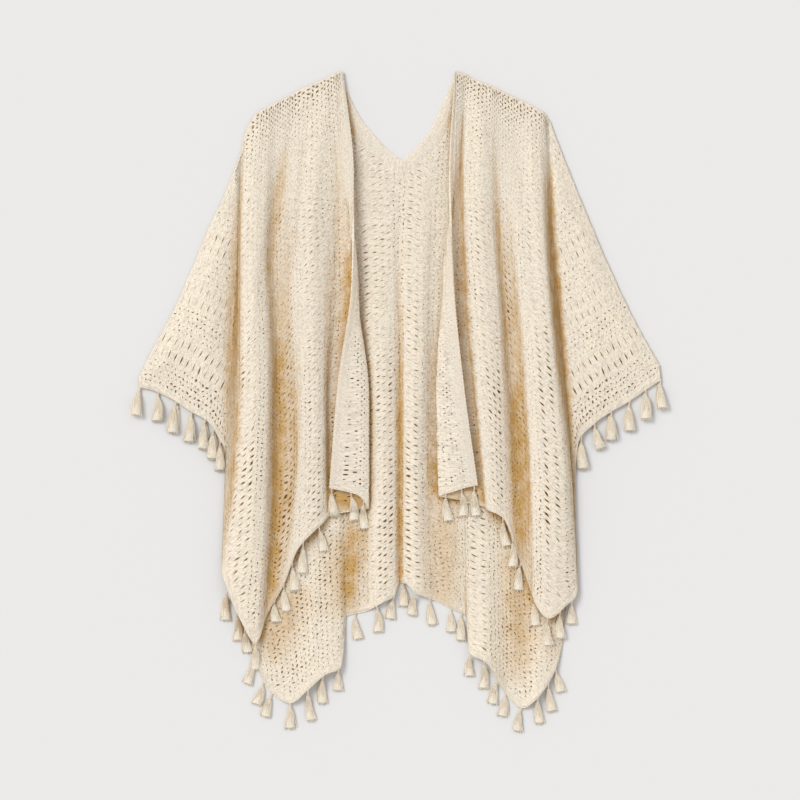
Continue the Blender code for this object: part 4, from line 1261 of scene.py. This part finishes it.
def body_lace(panel, lace, salt):
    """The lace of part of a front: all mesh in its yoke, and its own bands from there down."""
    yoke = BodyChart(panel, y_low=YOKE_FOOT - HEM_OVERLAP)
    rest = BodyChart(panel, y_high=YOKE_FOOT)
    mesh = Band("mesh", lace[0].start, lace[-1].end, YOKE_OPEN)
    return [lattice(yoke, (mesh,), salt + 20, YOKE_GAPE), lattice(rest, lace, salt)]


def build_front(side, panel, outer_lace, inner_lace, hem, sleeve, strip_at, roll, shade_lines):
    """A front: its body in two parts and its sleeve, the hem bands, and its opening's band."""
    chart = BodyChart(panel)
    nodes = ["front_" + side]
    outer = body_lace(panel, outer_lace, 3.0)
    outer += [hem_band(panel, chart, *hem), shoulder_roll(panel, *roll)]
    inner = body_lace(panel, inner_lace, 4.0)
    piece("front_" + side + "_outer_cloth", outer, "lace_knit", nodes, shade_lines)
    piece("front_" + side + "_inner_cloth", inner, "lace_knit", nodes, shade_lines)
    sleeve_chart = SleeveChart(panel, *sleeve, SLEEVE_TUCK)
    shells = [lattice(sleeve_chart, SLEEVE_LACE, 5.0), sleeve_band(sleeve_chart)]
    piece("sleeve_" + side + "_cloth", shells, "lace_knit", nodes)
    start, middle, end = strip_at
    band_lace = Band("mesh", min(start, middle), max(start, middle), EDGE_OPEN, columns=2)
    shells = [lattice(chart, (band_lace,), 13.0), edge_strip(panel, middle, end)]
    piece("edge_band_" + side + "_knit", shells, "edge_knit", ["edge_band_" + side], shade_lines)


def build_back(panel):
    """The back: fine lace where it shows, and coarse lace under the fronts."""
    whole = BodyChart(panel)
    low = BodyChart(panel, y_high=LOW_BACK_TOP)
    high = BodyChart(panel, y_low=LOW_BACK_TOP - STITCH)
    parts = (
        ("back_centre_cloth", whole, (BACK_CENTRE_LACE,), 7.0, ((11, 22),), BACK_SHADE_LINES),
        ("back_corner_cloth", low, BACK_LOW_LACE, 8.0, ((5, 11), (22, 29)), BACK_SHADE_LINES),
        ("back_covered_cloth", high, BACK_UNDER_LACE, 10.0, ((0, 5), (29, 34)), ()),
    )
    for name, chart, laces, salt, hems, shade_lines in parts:
        shells = [lattice(chart, lace, salt + i) for i, lace in enumerate(laces)]
        shells += [hem_band(panel, whole, *hem) for hem in hems]
        piece(name, shells, "lace_knit", ["back_panel"], shade_lines)
    piece("neck_band_knit", [neck_strip(panel)], "edge_knit", ["neck_band_back"])


def build_fringes(left, right, back):
    """All rows of tassels; those of the back's sleeves lie hidden under the front's."""
    on_back = (Ground(["back_panel"]), STRANDS)
    hidden = (on_back[0], HIDDEN_STRANDS)
    on_all = (Ground([
        "back_panel", "front_left", "front_right", "edge_band_left", "edge_band_right",
        "fringe_back_sleeve_left", "fringe_back_sleeve_right",
    ]), STRANDS)
    rows = (
        ("fringe_sleeve_left", left, 0, 6, SLEEVE_LEFT_TASSELS, on_all),
        ("fringe_front_left", left, 7, 17, FRONT_LEFT_TASSELS, on_all),
        ("fringe_flap_left", left, 18, 21, FLAP_LEFT_TASSELS, on_all),
        ("fringe_flap_right", right, 0, 3, FLAP_RIGHT_TASSELS, on_all),
        ("fringe_front_right", right, 4, 14, FRONT_RIGHT_TASSELS, on_all),
        ("fringe_sleeve_right", right, 16, 21, SLEEVE_RIGHT_TASSELS, on_all),
        ("fringe_back_sleeve_left", back, 0, 4, SLEEVE_LEFT_TASSELS, hidden),
        ("fringe_back_left", back, 5, 10, BACK_LEFT_TASSELS, on_back),
        ("fringe_back_centre", back, 11, 22, BACK_CENTRE_TASSELS, on_back),
        ("fringe_back_right", back, 23, 29, BACK_RIGHT_TASSELS, on_back),
        ("fringe_back_sleeve_right", back, 30, 34, SLEEVE_RIGHT_TASSELS, hidden),
    )
    for *row, (ground, strands) in rows:
        fringe(*row, ground, strands)


def build_stage():
    """A plain pale floor, one large soft light from the upper left, and even fill."""
    bpy.ops.mesh.primitive_plane_add(size=24.0, location=(0, 0, -0.0002))
    floor = bpy.context.object
    floor.name = "floor"
    paint = bpy.data.materials.new("floor_paint")
    paint.use_nodes = True
    feed(paint.node_tree, paint.node_tree.nodes["Principled BSDF"], {
        "Base Color": (*FLOOR_GREY, 1.0), "Roughness": 0.95, "Specular IOR Level": 0.1,
    })
    floor.data.materials.append(paint)

    lamp = bpy.data.lights.new("key", "SUN")
    lamp.energy = KEY_POWER
    lamp.angle = KEY_SPREAD
    lamp.color = (1.0, 0.985, 0.96)
    key = bpy.data.objects.new("key", lamp)
    key.rotation_euler = (-Vector(KEY_FROM)).to_track_quat("-Z", "Y").to_euler()
    bpy.context.scene.collection.objects.link(key)

    world = bpy.data.worlds.new("studio")
    world.use_nodes = True
    feed(world.node_tree, world.node_tree.nodes["Background"], {
        "Color": (1.0, 0.995, 0.985, 1.0), "Strength": FILL_STRENGTH,
    })
    bpy.context.scene.world = world
    bpy.context.scene.view_settings.view_transform = "Standard"


def build_camera():
    """Straight above, far enough off for the picture to have hardly any perspective."""
    data = bpy.data.cameras.new("camera")
    data.sensor_width = SENSOR
    data.lens = SENSOR * CAMERA_HEIGHT / PICTURE_WIDTH
    data.clip_end = 50.0
    camera = bpy.data.objects.new("camera", data)
    camera.location = (CENTRE_X, CENTRE_Y, CAMERA_HEIGHT)
    bpy.context.scene.collection.objects.link(camera)
    bpy.context.scene.camera = camera


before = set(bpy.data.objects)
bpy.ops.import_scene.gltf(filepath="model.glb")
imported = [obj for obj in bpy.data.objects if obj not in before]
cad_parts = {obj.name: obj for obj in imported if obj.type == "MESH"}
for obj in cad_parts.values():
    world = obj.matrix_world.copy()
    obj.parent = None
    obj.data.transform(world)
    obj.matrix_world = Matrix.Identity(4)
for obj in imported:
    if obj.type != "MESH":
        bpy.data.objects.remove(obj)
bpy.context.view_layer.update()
YARN = {
    "lace_knit": yarn("lace_knit_yarn", LIT_CREAM, (0.30, 0.42, 0.0), 1.0, 1.3),
    "edge_knit": yarn("edge_knit_yarn", PALE_CREAM, (0.55, 0.8, 0.0), 0.7, 1.3),
    "tassel_yarn": yarn("tassel_yarn", WHITE_CREAM, (1.4, 0.35, 0.0), 0.12, 1.6),
}
SKY = Sky(Ground([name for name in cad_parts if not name.startswith("fringe")]))
left_panel = Panel(FRONT_LEFT, 0.0, LEFT_CREASES)
right_panel = Panel(FRONT_RIGHT, 0.0, RIGHT_CREASES)
back_panel = Panel(BACK, CLOTH / 2, BACK_CREASES)
build_front(
    "left", left_panel, FRONT_LEFT_LACE[:4], FRONT_LEFT_LACE[4:], hem=(6, 20.6),
    sleeve=(0, 6), strip_at=(19.95, 20.55, 21), roll=(0, 20), shade_lines=LEFT_SHADE_LINES,
)
build_front(
    "right", right_panel, FRONT_RIGHT_LACE[5:], FRONT_RIGHT_LACE[:5], hem=(0.4, 15),
    sleeve=(21, 15), strip_at=(1.05, 0.45, 0), roll=(1, 21), shade_lines=RIGHT_SHADE_LINES,
)
build_back(back_panel)
build_fringes(left_panel, right_panel, back_panel)
build_stage()
build_camera()
